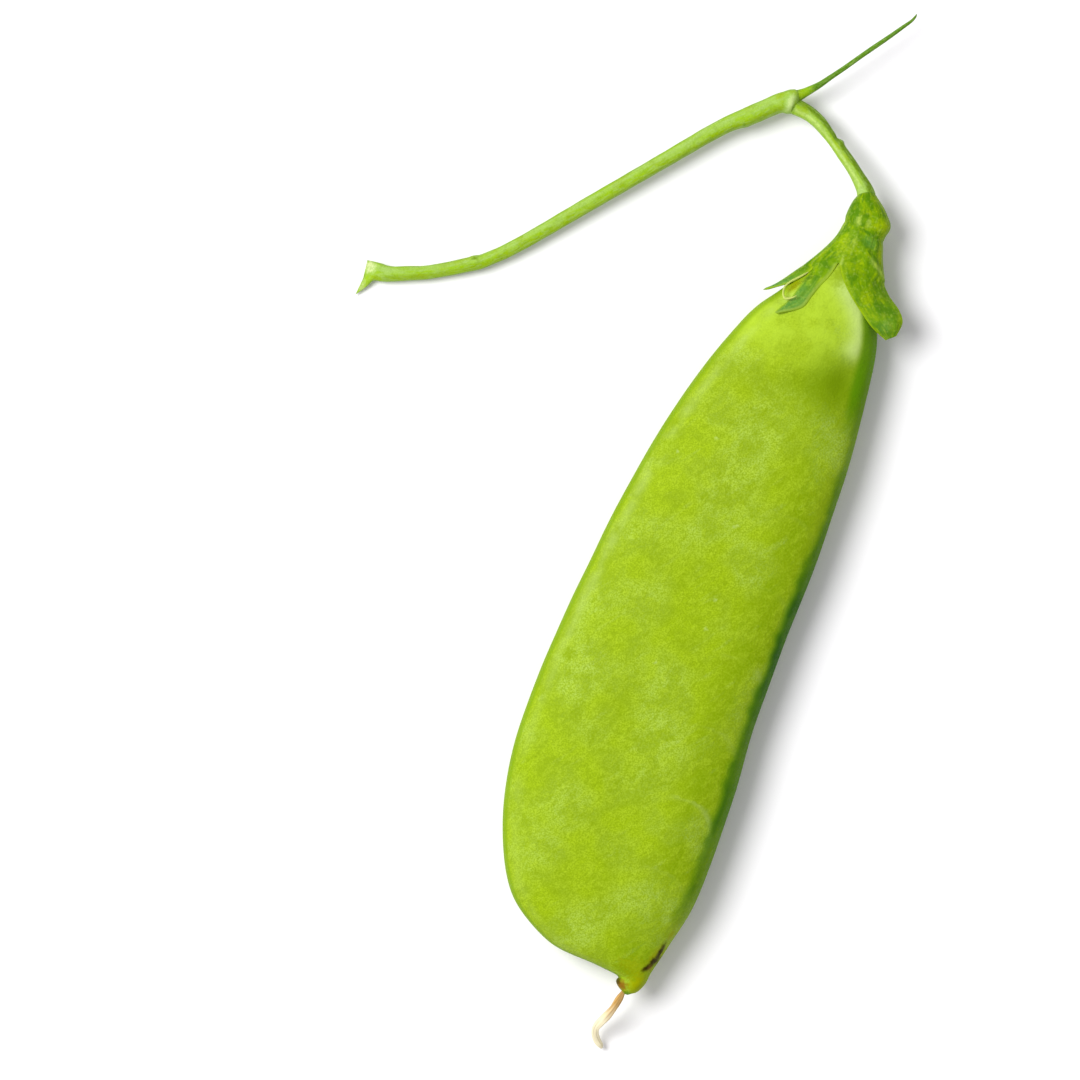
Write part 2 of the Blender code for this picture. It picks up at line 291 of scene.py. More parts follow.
# The stamens' heights are above the pod's middle plane.
STAMENS = (
    (-0.5, 35.7, 2.9, 0.05),
    (-0.8, 35.35, 2.9, 0.09),
    (-1.3, 34.8, 2.75, 0.1),
    (-1.85, 34.2, 2.55, 0.1),
    (-2.2, 33.5, 2.45, 0.1),
    (-2.1, 32.8, 2.65, 0.1),
    (-1.75, 32.45, 2.9, 0.12),
    (-1.2, 32.7, 3.05, 0.1),
    (-0.8, 33.1, 3.15, 0.04),
)

# Steps along and round each stem.
PEDUNCLE_GRID = (420, 56)
PEDICEL_GRID = (120, 48)
STALK_TIP_GRID = (150, 28)
STYLE_GRID = (110, 40)
STAMENS_GRID = (120, 20)

# ---------------------------------------------------------------- skins
GRAIN_SCALE = 4600.0
PORE_SCALE = 6800.0
RAGGED_SCALE = 3500.0  # of the noise that moves a mark's edge
MARK_SOFTNESS = 0.8
WAXY = (0.45, 0.6)  # roughness


def tone(red, green, blue):
    """The linear colour that a shader reads, from the 0 to 1 values that a screen shows."""
    shown = np.array([red, green, blue])
    return tuple(np.where(shown > 0.04045, ((shown + 0.055) / 1.055) ** 2.4, shown / 12.92))


def colour_setting(name, description, default):
    """A colour that a user can change."""
    return FloatVectorProperty(
        name=name, description=description, default=default, size=3, min=0, max=1, subtype="COLOR"
    )


def length_setting(name, description, millimetres):
    """A length that a user can change, kept in metres."""
    return FloatProperty(
        name=name, description=description, default=millimetres * MM, min=0, unit="LENGTH", precision=5
    )


class PodSettings(PropertyGroup):
    """Relief and colours of the pod."""

    seam_height: length_setting("Seam height", "How far the ribs along both edges stand out", 0.1)
    seam_width: length_setting("Seam width", "Half the width of those ribs", 0.4)
    seed_height: length_setting("Seed height", "How far each seed lifts the skin", 0.16)
    seed_spacing: length_setting("Seed spacing", "From one seed's middle to the next", 7.5)
    hollow_depth: length_setting("Hollow depth", "Depth of the dent under the shoulder", 0.35)
    face: colour_setting("Face", "Most of the skin", tone(0.585, 0.7, 0.07))
    light: colour_setting("Light mottle", "The paler net and grain of the skin", tone(0.645, 0.755, 0.16))
    # Painted light: the skin towards the calyx is painted brighter.
    lit_crown: colour_setting("Crown", "The bright skin under the calyx", tone(0.67, 0.795, 0.2))
    haze: colour_setting("Haze", "Wide paler patches of the skin", tone(0.67, 0.785, 0.38))
    deep: colour_setting("Deep mottle", "The more saturated patches and flecks", tone(0.5, 0.61, 0.03))
    shade: colour_setting("Shaded side", "The skin towards the straight edge", tone(0.45, 0.575, 0.0))
    # Painted shade: the steep side is coloured darker than the light alone makes it.
    wall: colour_setting("Wall", "The steep side along the straight edge", tone(0.15, 0.35, 0.03))
    rim: colour_setting("Rim", "The line along the bulging edge", tone(0.48, 0.62, 0.0))
    # Waxy bloom in specks and fine lines, and painted sheen in the band by the rim and on the shoulder.
    bloom_and_sheen: colour_setting("Bloom", "The whitish band by the rim and on raised skin", tone(0.72, 0.81, 0.5))
    # Painted shade on the steep side under the shoulder and beside the wall.
    shaded_flank: colour_setting("Flank", "The side under the shoulder", tone(0.29, 0.5, 0.0))
    # Painted shade in the dent under the shoulder; the same green also darkens the skin above the beak.
    hollow_shade: colour_setting("Hollow", "The dent under the shoulder", tone(0.4, 0.52, 0.0))
    # Worn olive skin at the beak; the same colour is painted shade beside the calyx's side lobe.
    worn_olive_and_shade: colour_setting("Olive", "The worn skin of the beak", tone(0.58, 0.62, 0.0))
    rust: colour_setting("Rust", "Corky scars on the beak", tone(0.53, 0.39, 0.08))
    blemish: colour_setting("Blemish", "Dead skin near the beak", tone(0.22, 0.19, 0.0))


class CalyxSettings(PropertyGroup):
    """Relief and colours of the calyx."""

    vein_height: length_setting("Vein height", "How far the veins stand out", 0.02)
    green: colour_setting("Green", "Most of the calyx", tone(0.44, 0.595, 0.0))
    # The creases are painted shade.
    dark: colour_setting("Dark green", "Mottles and creases", tone(0.29, 0.47, 0.0))
    yellow: colour_setting("Yellow green", "Lit and bruised places", tone(0.58, 0.69, 0.0))
    pale: colour_setting("Pale", "Margins, veins and spots", tone(0.64, 0.74, 0.3))
    blue: colour_setting("Blue green", "The tips of the narrow lobes", tone(0.36, 0.58, 0.27))


class StalkSettings(PropertyGroup):
    """Colours of the stems."""

    green: colour_setting("Green", "Most of the stem", tone(0.565, 0.725, 0.03))
    # Painted shade: the pedicel's dark upper side is the side away from the key light.
    dark: colour_setting("Dark green", "The weathered upper side of the pedicel", tone(0.39, 0.53, 0.0))
    yellow: colour_setting("Yellow green", "Patches of the stem", tone(0.56, 0.68, 0.0))
    pale: colour_setting("Pale", "Lit streaks along the stem", tone(0.63, 0.76, 0.4))
    stripe: colour_setting("Stripe", "The lit stripe along the pedicel", tone(0.71, 0.82, 0.42))
    cream: colour_setting("Cream", "The torn end", tone(0.83, 0.87, 0.62))
    tip: colour_setting("Tip", "The thin leafless tip", tone(0.27, 0.46, 0.0))


class RemnantSettings(PropertyGroup):
    """Colours of the dry style and stamens."""

    tan: colour_setting("Tan", "The style next to the beak", tone(0.8, 0.65, 0.4))
    rust: colour_setting("Rust", "Fibres and scars", tone(0.66, 0.47, 0.2))
    straw: colour_setting("Straw", "The far half of the style", tone(0.94, 0.905, 0.76))
    thread: colour_setting("Thread", "The stamens", tone(0.74, 0.8, 0.4))


class StageSettings(PropertyGroup):
    """Floor, light and camera."""

    floor: colour_setting("Floor", "The plain floor", (0.9, 0.9, 0.9))
    key_watts: FloatProperty(
        name="Key light", description="Power of the soft light", default=6.5, min=0, unit="POWER"
    )
    ambient_tint: colour_setting("Ambient tint", "Colour of the surround", (0.98, 0.95, 1.0))
    ambient: FloatProperty(name="Ambient", description="Strength of the white surround", default=0.55, min=0)


class PeaPodSettings(PropertyGroup):
    """All the settings of the pea pod."""

    pod: PointerProperty(type=PodSettings)
    calyx: PointerProperty(type=CalyxSettings)
    stalk: PointerProperty(type=StalkSettings)
    remnants: PointerProperty(type=RemnantSettings)
    stage: PointerProperty(type=StageSettings)


# ---------------------------------------------------------------- curves and surfaces
def through(knots, places):
    """A smooth curve through the knots, read at places from 0 at the first knot to 1 at the last.

    It is a Catmull-Rom spline: it passes each knot in the direction of the line between its neighbours."""
    knots = np.asarray(knots, float)
    padded = np.vstack([2 * knots[0] - knots[1], knots, 2 * knots[-1] - knots[-2]])
    along = np.clip(np.asarray(places, float), 0, 1) * (len(knots) - 1)
    first = np.minimum(along.astype(int), len(knots) - 2)
    t = (along - first)[:, None]
    before, start, end, after = (padded[first + i] for i in range(4))
    return 0.5 * (
        2 * start
        + (end - before) * t
        + (2 * before - 5 * start + 4 * end - after) * t**2
        + (3 * start - before - 3 * end + after) * t**3
    )


def evenly_through(knots, count):
    """The curve through the knots at equal steps of the way that the sections' middles travel."""
    fine = np.linspace(0, 1, FINE_STEPS)
    sections = through(knots, fine)
    middles = (sections[:, 0:2] + sections[:, 2:4]) / 2
    way = np.concatenate([[0], np.cumsum(np.linalg.norm(np.diff(middles, axis=0), axis=1))])
    return through(knots, np.interp(np.linspace(0, way[-1], count), way, fine))


def smooth_step(values, low, high):
    """0 below low, 1 above high, and 3t squared minus 2t cubed in between."""
    t = np.clip((values - low) / (high - low), 0, 1)
    return t * t * (3 - 2 * t)


def bell(values, width):
    """A bell curve that is 1 at 0 and falls to 0.37 at the width."""
    return np.exp(-((values / width) ** 2))


def signed_power(values, power):
    """The values' sizes to a power, with their signs kept."""
    return np.sign(values) * np.abs(values) ** power


def half_thickness(width):
    """Half the thickness of the pod where it is this wide."""
    return POD_THICKNESS / 2 * (width / POD_WIDTH) ** THICKNESS_TAPER


def rings(sections, middle, half_height, angles, power):
    """A grid of points, a row for each section: superellipses on the chords between two edges.

    The angle is 0 at the second edge and a quarter turn at the top. Across the chord a point stands at the
    cosine, and up at the sine, each to the power of two divided by the superellipse's own power."""
    one, other = sections[:, None, 0:2], sections[:, None, 2:4]
    across = signed_power(np.cos(angles), 2 / power)[None, :, None]
    up = signed_power(np.sin(angles), 2 / power)[None, :]
    ground = (one + other) / 2 + across * (other - one) / 2
    height = np.reshape(middle, (-1, 1)) + np.reshape(half_height, (-1, 1)) * up
    return np.dstack([ground, height])


def outward(points):
    """Unit normals of a grid that is closed round its rows, from the cross product of its two directions."""
    round_way = np.roll(points, -1, axis=1) - np.roll(points, 1, axis=1)
    along_way = np.gradient(points, axis=0)
    normal = np.cross(along_way, round_way)
    normal /= np.maximum(np.linalg.norm(normal, axis=2, keepdims=True), 1e-12)
    middle = points.mean(axis=1, keepdims=True)
    return normal * np.sign(np.sum(normal * (points - middle)))


def along_surface(points):
    """How far each row of a grid lies from the first, by the way that the rows' middles travel."""
    middles = points.mean(axis=1)
    return np.concatenate([[0], np.cumsum(np.linalg.norm(np.diff(middles, axis=0), axis=1))])


def skin_vector(points, angles):
    """Cosine and sine of the angle round a grid that is closed round its rows, and the way along it."""
    along = along_surface(points)[:, None]
    cosine, sine, along = np.broadcast_arrays(np.cos(angles), np.sin(angles), along)
    return np.dstack([cosine, sine, along])


def cells(index):
    """The four corners of each cell of a grid of vertex numbers."""
    corners = (index[:-1, :-1], index[1:, :-1], index[1:, 1:], index[:-1, 1:])
    return np.stack(corners, axis=-1).reshape(-1, 4)


def closed_cells(index):
    """The cells of a grid of vertex numbers whose last column joins its first."""
    return cells(np.hstack([index, index[:, :1]]))


def fan(ring, pole):
    """Triangles from each step of a ring of vertex numbers to one pole."""
    return np.column_stack([ring, np.roll(ring, -1), np.full(len(ring), pole)])


def add_piece(name, points, faces, attributes, material):
    """An object with a smooth mesh of these points, in millimetres, and faces that look out.

    An attribute is one number or one vector for each vertex."""
    mesh = bpy.data.meshes.new(name)
    mesh.from_pydata((points * MM).tolist(), [], [face for part in faces for face in part.tolist()])
    for label, values in attributes.items():
        if values.ndim == 1:
            mesh.attributes.new(label, "FLOAT", "POINT").data.foreach_set("value", values.astype("f"))
        else:
            flat = values.astype("f").ravel()
            mesh.attributes.new(label, "FLOAT_VECTOR", "POINT").data.foreach_set("vector", flat)
    mesh.shade_smooth()
    mesh.materials.append(material)
    piece = bpy.data.objects.new(name, mesh)
    bpy.context.scene.collection.objects.link(piece)
    return piece


def add_closed_piece(name, points, attributes, material):
    """A piece over a grid that is closed round its rows, with a pole at each end.

    The faces' winding is set by the sign of the volume that the cells enclose."""
    rows, columns = points.shape[:2]
    index = np.arange(rows * columns).reshape(rows, columns)
    first, last = rows * columns, rows * columns + 1
    corners = np.vstack([points.reshape(-1, 3), points[0].mean(axis=0), points[-1].mean(axis=0)])
    faces = [closed_cells(index), fan(index[0], first), fan(index[-1][::-1], last)]
    quads = corners[faces[0]] - corners.mean(axis=0)
    volume = np.sum(np.cross(quads[:, 0], quads[:, 1]) * quads[:, 2])
    if volume < 0:
        faces = [part[:, ::-1] for part in faces]
    full = {}
    for label, values in attributes.items():
        flat = values.reshape(rows * columns, *values.shape[2:])
        full[label] = np.concatenate([flat, flat[:1], flat[-1:]])
    return add_piece(name, corners, faces, full, material)


def stand_for(piece, node):
    """The piece rides on the body and replaces the CAD node, which it hides."""
    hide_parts(node)
    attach(piece, BODY)


# ---------------------------------------------------------------- shader building
def place(tree, kind, inputs=(), **settings):
    """A node of this kind, with its settings, and each input set to a value or linked to an output."""
    made = tree.nodes.new("ShaderNode" + kind)
    for name, value in settings.items():
        setattr(made, name, value)
    for name, value in dict(inputs).items():
        if isinstance(value, bpy.types.NodeSocket):
            tree.links.new(value, made.inputs[name])
        else:
            made.inputs[name].default_value = value
    return made


def calculate(tree, operation, first, second):
    """The output of a Math node."""
    return place(tree, "Math", {0: first, 1: second}, operation=operation).outputs[0]


def vector_math(tree, operation, first, second):
    """The vector that a Vector Math node puts out."""
    return place(tree, "VectorMath", {0: first, 1: second}, operation=operation).outputs["Vector"]


def turned_back(tree, vector, turn):
    """The vector turned about Z by minus the turn."""
    inputs = {"Vector": vector, "Angle": calculate(tree, "MULTIPLY", turn, -1.0)}
    return place(tree, "VectorRotate", inputs, rotation_type="Z_AXIS").outputs[0]


def cut(tree, value, low, high):
    """A smooth step of the value: 0 at low and 1 at high."""
    levels = {"Value": value, "From Min": low, "From Max": high}
    return place(tree, "MapRange", levels, interpolation_type="SMOOTHSTEP").outputs[0]


def new_group(name, inputs):
    """An empty node group that puts out one mask. Its inputs are numbers with a default, or else vectors."""
    group = bpy.data.node_groups.new(name, "ShaderNodeTree")
    for label, default in inputs.items():
        kind = "NodeSocketVector" if default is None else "NodeSocketFloat"
        socket = group.interface.new_socket(label, in_out="INPUT", socket_type=kind)
        if default is not None:
            socket.default_value = default
    group.interface.new_socket("Mask", in_out="OUTPUT", socket_type="NodeSocketFloat")
    given = group.nodes.new("NodeGroupInput").outputs
    return group, given, group.nodes.new("NodeGroupOutput").inputs["Mask"]


def build_mottle():
    """Soft patches: noise at a scale, cut between two levels."""
    sockets = {"Vector": None, "Scale": 400.0, "Detail": 2.0, "From": 0.4, "To": 0.6}
    group, given, mask = new_group("Mottle", sockets)
    noise = place(group, "TexNoise", {label: given[label] for label in ("Vector", "Scale", "Detail")})
    group.links.new(cut(group, noise.outputs[0], given["From"], given["To"]), mask)


def build_streaks():
    """Fine lines along one direction: noise on the turned and squeezed vector, cut between two levels."""
    sockets = {"Vector": None, "Turn": 0.0, "Scale": 1000.0, "Stretch": 5.0, "From": 0.5, "To": 0.7}
    group, given, mask = new_group("Streaks", sockets)
    turned = turned_back(group, given["Vector"], given["Turn"])
    squeeze = place(group, "CombineXYZ", {"X": given["Stretch"], "Y": 1.0, "Z": 1.0}).outputs[0]
    squeezed = vector_math(group, "MULTIPLY", turned, squeeze)
    noise = place(group, "TexNoise", {"Vector": squeezed, "Scale": given["Scale"], "Detail": 2.0})
    group.links.new(cut(group, noise.outputs[0], given["From"], given["To"]), mask)


def build_spot():
    """One ragged mark: 1 inside an ellipsoid about a centre, with noise moving its edge."""
    sockets = {"Vector": None, "Centre": None, "Size": None, "Turn": 0.0, "Ragged": 0.4, "Soft": 0.5}
    group, given, mask = new_group("Spot", sockets)
    moved = vector_math(group, "SUBTRACT", given["Vector"], given["Centre"])
    scaled = vector_math(group, "DIVIDE", turned_back(group, moved, given["Turn"]), given["Size"])
    distance = place(group, "VectorMath", {0: scaled}, operation="LENGTH").outputs["Value"]
    noise = place(group, "TexNoise", {"Vector": given["Vector"], "Scale": RAGGED_SCALE, "Detail": 3.0})
    swing = calculate(group, "MULTIPLY", calculate(group, "SUBTRACT", noise.outputs[0], 0.5), 2.0)
    edge = calculate(group, "ADD", distance, calculate(group, "MULTIPLY", swing, given["Ragged"]))
    inner = calculate(group, "SUBTRACT", 1.0, given["Soft"])
    group.links.new(cut(group, edge, 1.0, inner), mask)


def build_groups():
    """The node groups that the materials share, each built once."""
    for name, build in (("Mottle", build_mottle), ("Streaks", build_streaks), ("Spot", build_spot)):
        if name not in bpy.data.node_groups:
            build()


def opaque(colour):
    """A colour setting as the four numbers of a colour socket."""
    return (*colour, 1.0)


class Skin:
    """A material in the making: its nodes, its piece's Object coordinates and the colour so far.

    A tint is the name of one of its colour settings."""

    def __init__(self, name, settings, base):
        build_groups()
        self.material = bpy.data.materials.new(name)
        self.material.use_nodes = True
        self.tree = self.material.node_tree
        self.settings = settings
        self.vector = place(self.tree, "TexCoord").outputs["Object"]
        self.colour = self.tint(base)

    def tint(self, name):
        """A colour setting for a colour socket."""
        return opaque(getattr(self.settings, name))

    def attribute(self, name, output="Fac"):
        """What the piece's attribute of this name holds."""
        return place(self.tree, "Attribute", attribute_name=name).outputs[output]

    def times(self, mask, share):
        """The mask times a number or another mask."""
        return calculate(self.tree, "MULTIPLY", mask, share)

    def plus(self, mask, share):
        """The mask plus a number or another mask."""
        return calculate(self.tree, "ADD", mask, share)

    def over(self, tint, mask, strength=1.0):
        """Lays a tint over the colour so far, as far as the mask times the strength says.

        The mask is an output, or the name of an attribute of the piece."""
        if isinstance(mask, str):
            mask = self.attribute(mask)
        inputs = {0: self.times(mask, strength), 6: self.colour, 7: self.tint(tint)}
        self.colour = place(self.tree, "Mix", inputs, data_type="RGBA", clamp_factor=True).outputs[2]

    def group(self, name, values):
        """The mask that a shared group puts out for these values."""
        return place(self.tree, "Group", values, node_tree=bpy.data.node_groups[name]).outputs[0]

    def mottle(self, scale, low, high):
        """A mask of soft patches of about 1/scale metres."""
        return self.group("Mottle", {"Vector": self.vector, "Scale": scale, "From": low, "To": high})

    def fibres(self, stretch, low, high):
        """A mask of patches drawn out along the piece: noise on its stretched skin vector."""
        vector = vector_math(self.tree, "MULTIPLY", self.attribute("skin", "Vector"), stretch)
        values = {"Vector": vector, "Scale": 1.0, "Detail": 3.0, "From": low, "To": high}
        return self.group("Mottle", values)

    def streaks(self, turn, scale, stretch, low, high):
        """A mask of fine lines turned by this many degrees from the X axis."""
        values = {"Vector": self.vector, "Turn": np.radians(turn), "Scale": scale, "Stretch": stretch}
        return self.group("Streaks", {**values, "From": low, "To": high})

    def marks(self, rows, ragged, within=1.0):
        """Lays down marks that reach through the whole piece.

        A row is the tint, X and Y of the middle, the half sizes, the turn in degrees, the strength and, where
        it isn't the usual, the raggedness."""
        for tint, (x, y), (half_x, half_y), turn, strength, *own in rows:
            values = {"Vector": self.vector, "Turn": np.radians(turn), "Soft": MARK_SOFTNESS}
            values["Centre"] = (x * MM, y * MM, MID_HEIGHT * MM)
            values["Size"] = (half_x * MM, half_y * MM, POD_THICKNESS * MM)
            values["Ragged"] = own[0] if own else ragged
            self.over(tint, self.times(self.group("Spot", values), within), strength)

    def finish(self, rough_by, roughness, height, relief, gloss):
        """The material, with its roughness between two values by a mask, and its bump in millimetres."""
        shader = self.tree.nodes["Principled BSDF"]
        inputs = {"Value": rough_by, "To Min": roughness[0], "To Max": roughness[1]}
        rough = place(self.tree, "MapRange", inputs)
        bump = place(self.tree, "Bump", {"Height": height, "Distance": relief * MM, "Strength": 1.0})
        self.tree.links.new(self.colour, shader.inputs["Base Color"])
        self.tree.links.new(rough.outputs[0], shader.inputs["Roughness"])
        self.tree.links.new(bump.outputs[0], shader.inputs["Normal"])
        shader.inputs["Specular IOR Level"].default_value = gloss
        return self.material


# ---------------------------------------------------------------- making the pod
def pod_angles():
    """Angles round a section, so spaced that the points stand evenly along it, and closer at the seams."""
    fine = np.linspace(0, 2 * np.pi, 2 * FINE_STEPS + 1)
    across = signed_power(np.cos(fine), 2 / SECTION_POWER) * POD_WIDTH / 2
    up = signed_power(np.sin(fine), 2 / SECTION_POWER) * POD_THICKNESS / 2
    step = np.hypot(np.diff(across), np.diff(up))
    seam = bell(np.abs(across[1:]) - POD_WIDTH / 2, 0.9)
    way = np.concatenate([[0], np.cumsum(step * (1 + 1.2 * seam))])
    return np.interp(np.linspace(0, way[-1], POD_SIDES, endpoint=False), way, fine)


def from_shoulder(x, y):
    """How far each point stands in plan from the smooth line of the fold beside the neck."""
    line = through(SHOULDER, np.linspace(0, 1, 24))
    apart = np.hypot(x[..., None] - line[:, 0], y[..., None] - line[:, 1])
    return apart.min(axis=-1)


def shoulder_lift(x, y):
    """How far the fold beside the neck lifts the skin: a bell across its line."""
    return SHOULDER_HEIGHT * bell(from_shoulder(x, y), SHOULDER_WIDTH)


def seed_distance(x, y, spacing):
    """Distance and direction in plan from each point to its nearest seed, and how clearly that seed shows."""
    number = np.clip(np.round((y - FIRST_SEED_Y) / spacing), 0, len(SEED_CLEARNESS) - 1).astype(int)
    off_x, off_y = x - SEED_X, y - (FIRST_SEED_Y + number * spacing)
    clear = np.array(SEED_CLEARNESS)[number]
    return np.hypot(off_x, off_y), np.arctan2(off_y, off_x), clear


def oval_bell(x, y, oval):
    """A bell curve in plan over an oval, given by X, Y and its half sizes."""
    middle_x, middle_y, half_x, half_y = oval
    return np.exp(-(((x - middle_x) / half_x) ** 2) - ((y - middle_y) / half_y) ** 2)


def pod_surface(settings):
    """The pod's grid of points and its paint masks.

    The base is a loft of superellipses between the two edges. Along its normals it is raised by a rib on each
    seam, a dome and a fine ring over each seed, and the fold beside the neck. It is lowered by the groove
    inside the straight seam and by the hollow under the shoulder. The masks are steps and bells of the distance
    in plan from each edge, fading along the pod."""
    sections = evenly_through(POD_EDGES, POD_SECTIONS)
    across_pod = sections[:, 2:4] - sections[:, 0:2]
    chord = np.linalg.norm(across_pod, axis=1)
    rib, width = settings.seam_height / MM, settings.seam_width / MM
    inward = across_pod / chord[:, None] * np.minimum(rib, chord[:, None] * 0.1)
    sections[:, 0:2] += inward
    sections[:, 2:4] -= inward
    half_height = half_thickness(chord) - RELIEF_ROOM * chord / POD_WIDTH
    angles = pod_angles()
    points = rings(sections, MID_HEIGHT, half_height, angles, SECTION_POWER)
    x, y = points[:, :, 0], points[:, :, 1]
    across = signed_power(np.cos(angles), 2 / SECTION_POWER)[None, :]
    bulging = (1 + across) * chord[:, None] / 2
    straight = (1 - across) * chord[:, None] / 2
    rise = np.abs(points[:, :, 2] - MID_HEIGHT)
    from_bulging, from_straight = np.hypot(bulging, rise), np.hypot(straight, rise)

    spacing = settings.seed_spacing / MM
    away, direction, clear = seed_distance(x, y, spacing)
    body = smooth_step(y, 40, 31) * smooth_step(y, -37.5, -34)
    dome = bell(away, DOME_WIDTH) * (0.5 + 0.5 * clear) * smooth_step(straight, 0.3, 2.0)
    ring = bell(away - SEED_RIM, SEED_RIM_WIDTH) * np.clip(np.cos(direction - SEED_RIM_TURN), 0, 1) * clear
    ring *= smooth_step(straight, 0.2, 1.0) * body
    groove = bell(from_straight - 2.6 * width, 1.1 * width) * body
    ribs = bell(from_straight, width) + BULGING_RIB * bell(from_bulging, width)
    uneven = np.sin(x * 0.7 + 1.3 * np.sin(y * 0.21)) * np.sin(y * 0.37 + 0.8 * np.sin(x * 0.5))
    height = settings.seed_height / MM * dome + SEED_RIM_HEIGHT * ring + UNEVEN_HEIGHT * uneven * body
    height += rib * (ribs - GROOVE_SHARE * groove)
    height += shoulder_lift(x, y) - settings.hollow_depth / MM * oval_bell(x, y, HOLLOW)
    height *= smooth_step(chord, 0.4, 3.0)[:, None]
    points = points + outward(points) * height[:, :, None]
    low, high = CAD_BOX
    points = np.clip(points, np.array(low) / MM, np.array(high) / MM)

    beat = np.cos((y - FIRST_SEED_Y) * 2 * np.pi / spacing)
    wave = 0.12 * beat + 0.08 * uneven + 0.09 * np.sin(2.3 * y + 1.4 * np.sin(0.9 * y))
    wall_y, *columns = np.array(WALL).T
    depth, reach, strip = (np.interp(y, wall_y, column) for column in columns)
    edge = reach + wave
    rim_growth = 0.35 * smooth_step(y, 12, 30)
    masks = {
        "rim": smooth_step(bulging, 0.5 + rim_growth, 0.3) * smooth_step(y, 39, 34),
        # Partly pale skin and partly painted sheen: a band inside the rim, where the skin turns towards the key
        # light.
        "bloom_and_sheen": bell(bulging - 1.15 - rim_growth, 0.5) * (0.35 + 0.65 * smooth_step(y, -16, -2)),
        "shade": smooth_step(straight, 6.8, 3.2) * body,
        # Painted shade on the steep wall along the straight edge.
        "wall": smooth_step(straight, edge + 0.4, edge - 0.35) * depth * (0.92 - 0.08 * beat),
        # Painted shade in the shaded flank's green: a wider band beside the wall, and the steep side under the
        # shoulder.
        "wall_shade_side": smooth_step(straight, edge + 0.8, edge - 0.2) * np.minimum(1.3 * depth, 1),
        "shaded_flank": smooth_step(straight, 2.1, 1.2) * smooth_step(y, 20, 26) * smooth_step(y, 37, 34),
        "seed_ring": ring,
        # Painted shade in and round the dent under the shoulder.
        "hollow": oval_bell(x, y, HOLLOW_SHADE),
        # Painted highlight along the fold beside the neck.
        "shoulder": bell(from_shoulder(x, y), 1.05) * smooth_step(straight, 1.3, 2.0),
        # Painted light towards the calyx.
        "lit_crown": smooth_step(y, 24, 30),
        "upper": smooth_step(points[:, :, 2], MID_HEIGHT - 0.6, MID_HEIGHT),
    }
    masks["wall"] *= 1 - strip * smooth_step(straight, 0.75, 0.45)
    return points, masks


# Tint, X and Y of the middle, half sizes, turn in degrees, strength, raggedness.
POD_MARKS = (
    ("deep", (0.0, 24.0), (9.0, 3.0), 6.0, 0.5, 0.6),
    # Painted shade spreading from the dent under the shoulder across the face.
    ("hollow_shade", (3.2, 25.2), (4.5, 2.2), 8.0, 0.4, 0.6),
    ("deep", (-9.8, -8.2), (1.0, 1.3), 20.0, 0.8, 0.9),
    ("deep", (-7.2, -13.2), (0.9, 1.5), -10.0, 1.0, 0.9),
    ("deep", (-5.5, -29.8), (0.7, 0.6), 0.0, 0.6, 0.9),
    ("bloom_and_sheen", (-3.4, 17.0), (0.4, 0.35), 0.0, 0.4, 0.8),
    ("bloom_and_sheen", (1.4, 9.4), (0.5, 0.35), 20.0, 0.4, 0.8),
    ("bloom_and_sheen", (2.0, 1.8), (0.35, 0.3), 0.0, 0.35, 0.8),
    ("bloom_and_sheen", (2.0, -1.2), (0.4, 0.35), 0.0, 0.4, 0.8),
    ("bloom_and_sheen", (-1.5, -6.1), (0.35, 0.35), 0.0, 0.4, 0.8),
    ("bloom_and_sheen", (-6.6, 14.4), (0.25, 0.25), 0.0, 0.35, 0.8),
    # Painted shade beside the dent, towards the straight edge.
    ("hollow_shade", (9.6, 26.0), (1.2, 4.5), 4.0, 0.5, 0.5),
    ("deep", (8.8, 13.0), (1.0, 7.0), 2.0, 0.45, 0.6),
    # Painted shadow of the calyx on the pod, just below it.
    ("deep", (2.6, 36.4), (1.3, 2.2), 10.0, 0.7, 0.5),
    ("blemish", (-9.5, -19.0), (0.16, 0.12), 0.0, 0.5, 0.5),
    ("blemish", (-7.0, -17.8), (0.14, 0.14), 0.0, 0.35, 0.5),
    # Darker skin above the beak, in the hollow shade's colour.
    ("hollow_shade", (6.2, -36.0), (1.9, 0.8), -5.0, 0.7, 0.7),
    ("worn_olive_and_shade", (6.8, -35.5), (2.4, 1.6), 0.0, 0.5, 0.9),
    ("worn_olive_and_shade", (7.7, -36.9), (1.2, 1.6), -10.0, 1.0, 0.5),
    ("deep", (7.3, -36.6), (0.4, 0.3), 0.0, 0.6, 0.6),
    # Painted shade on the pod between the stamens and the calyx's side lobe.
    ("worn_olive_and_shade", (-1.3, 34.0), (0.6, 1.3), -30.0, 0.9, 0.3),
    # The beak's tip, darkened with the shaded flank's green.
    ("shaded_flank", (7.15, -38.15), (0.55, 0.35), 0.0, 0.7, 0.4),
    ("worn_olive_and_shade", (8.6, -33.6), (0.7, 2.1), -19.0, 0.85, 0.5),
    ("worn_olive_and_shade", (9.3, -31.2), (0.35, 1.0), -12.0, 0.7, 0.4),
    ("blemish", (8.85, -33.1), (0.34, 1.6), -10.0, 1.0, 0.3),
    ("blemish", (8.58, -34.2), (0.5, 1.3), -25.0, 1.0, 0.5),
    ("blemish", (8.12, -35.05), (0.4, 1.0), -38.0, 1.0, 0.3),
    ("rust", (8.45, -35.0), (0.35, 0.6), 0.0, 0.4, 0.5),
    ("rust", (6.3, -37.55), (1.0, 0.75), -30.0, 1.0, 0.4),
    ("blemish", (5.8, -37.3), (0.55, 0.7), 20.0, 0.8, 0.4),
)


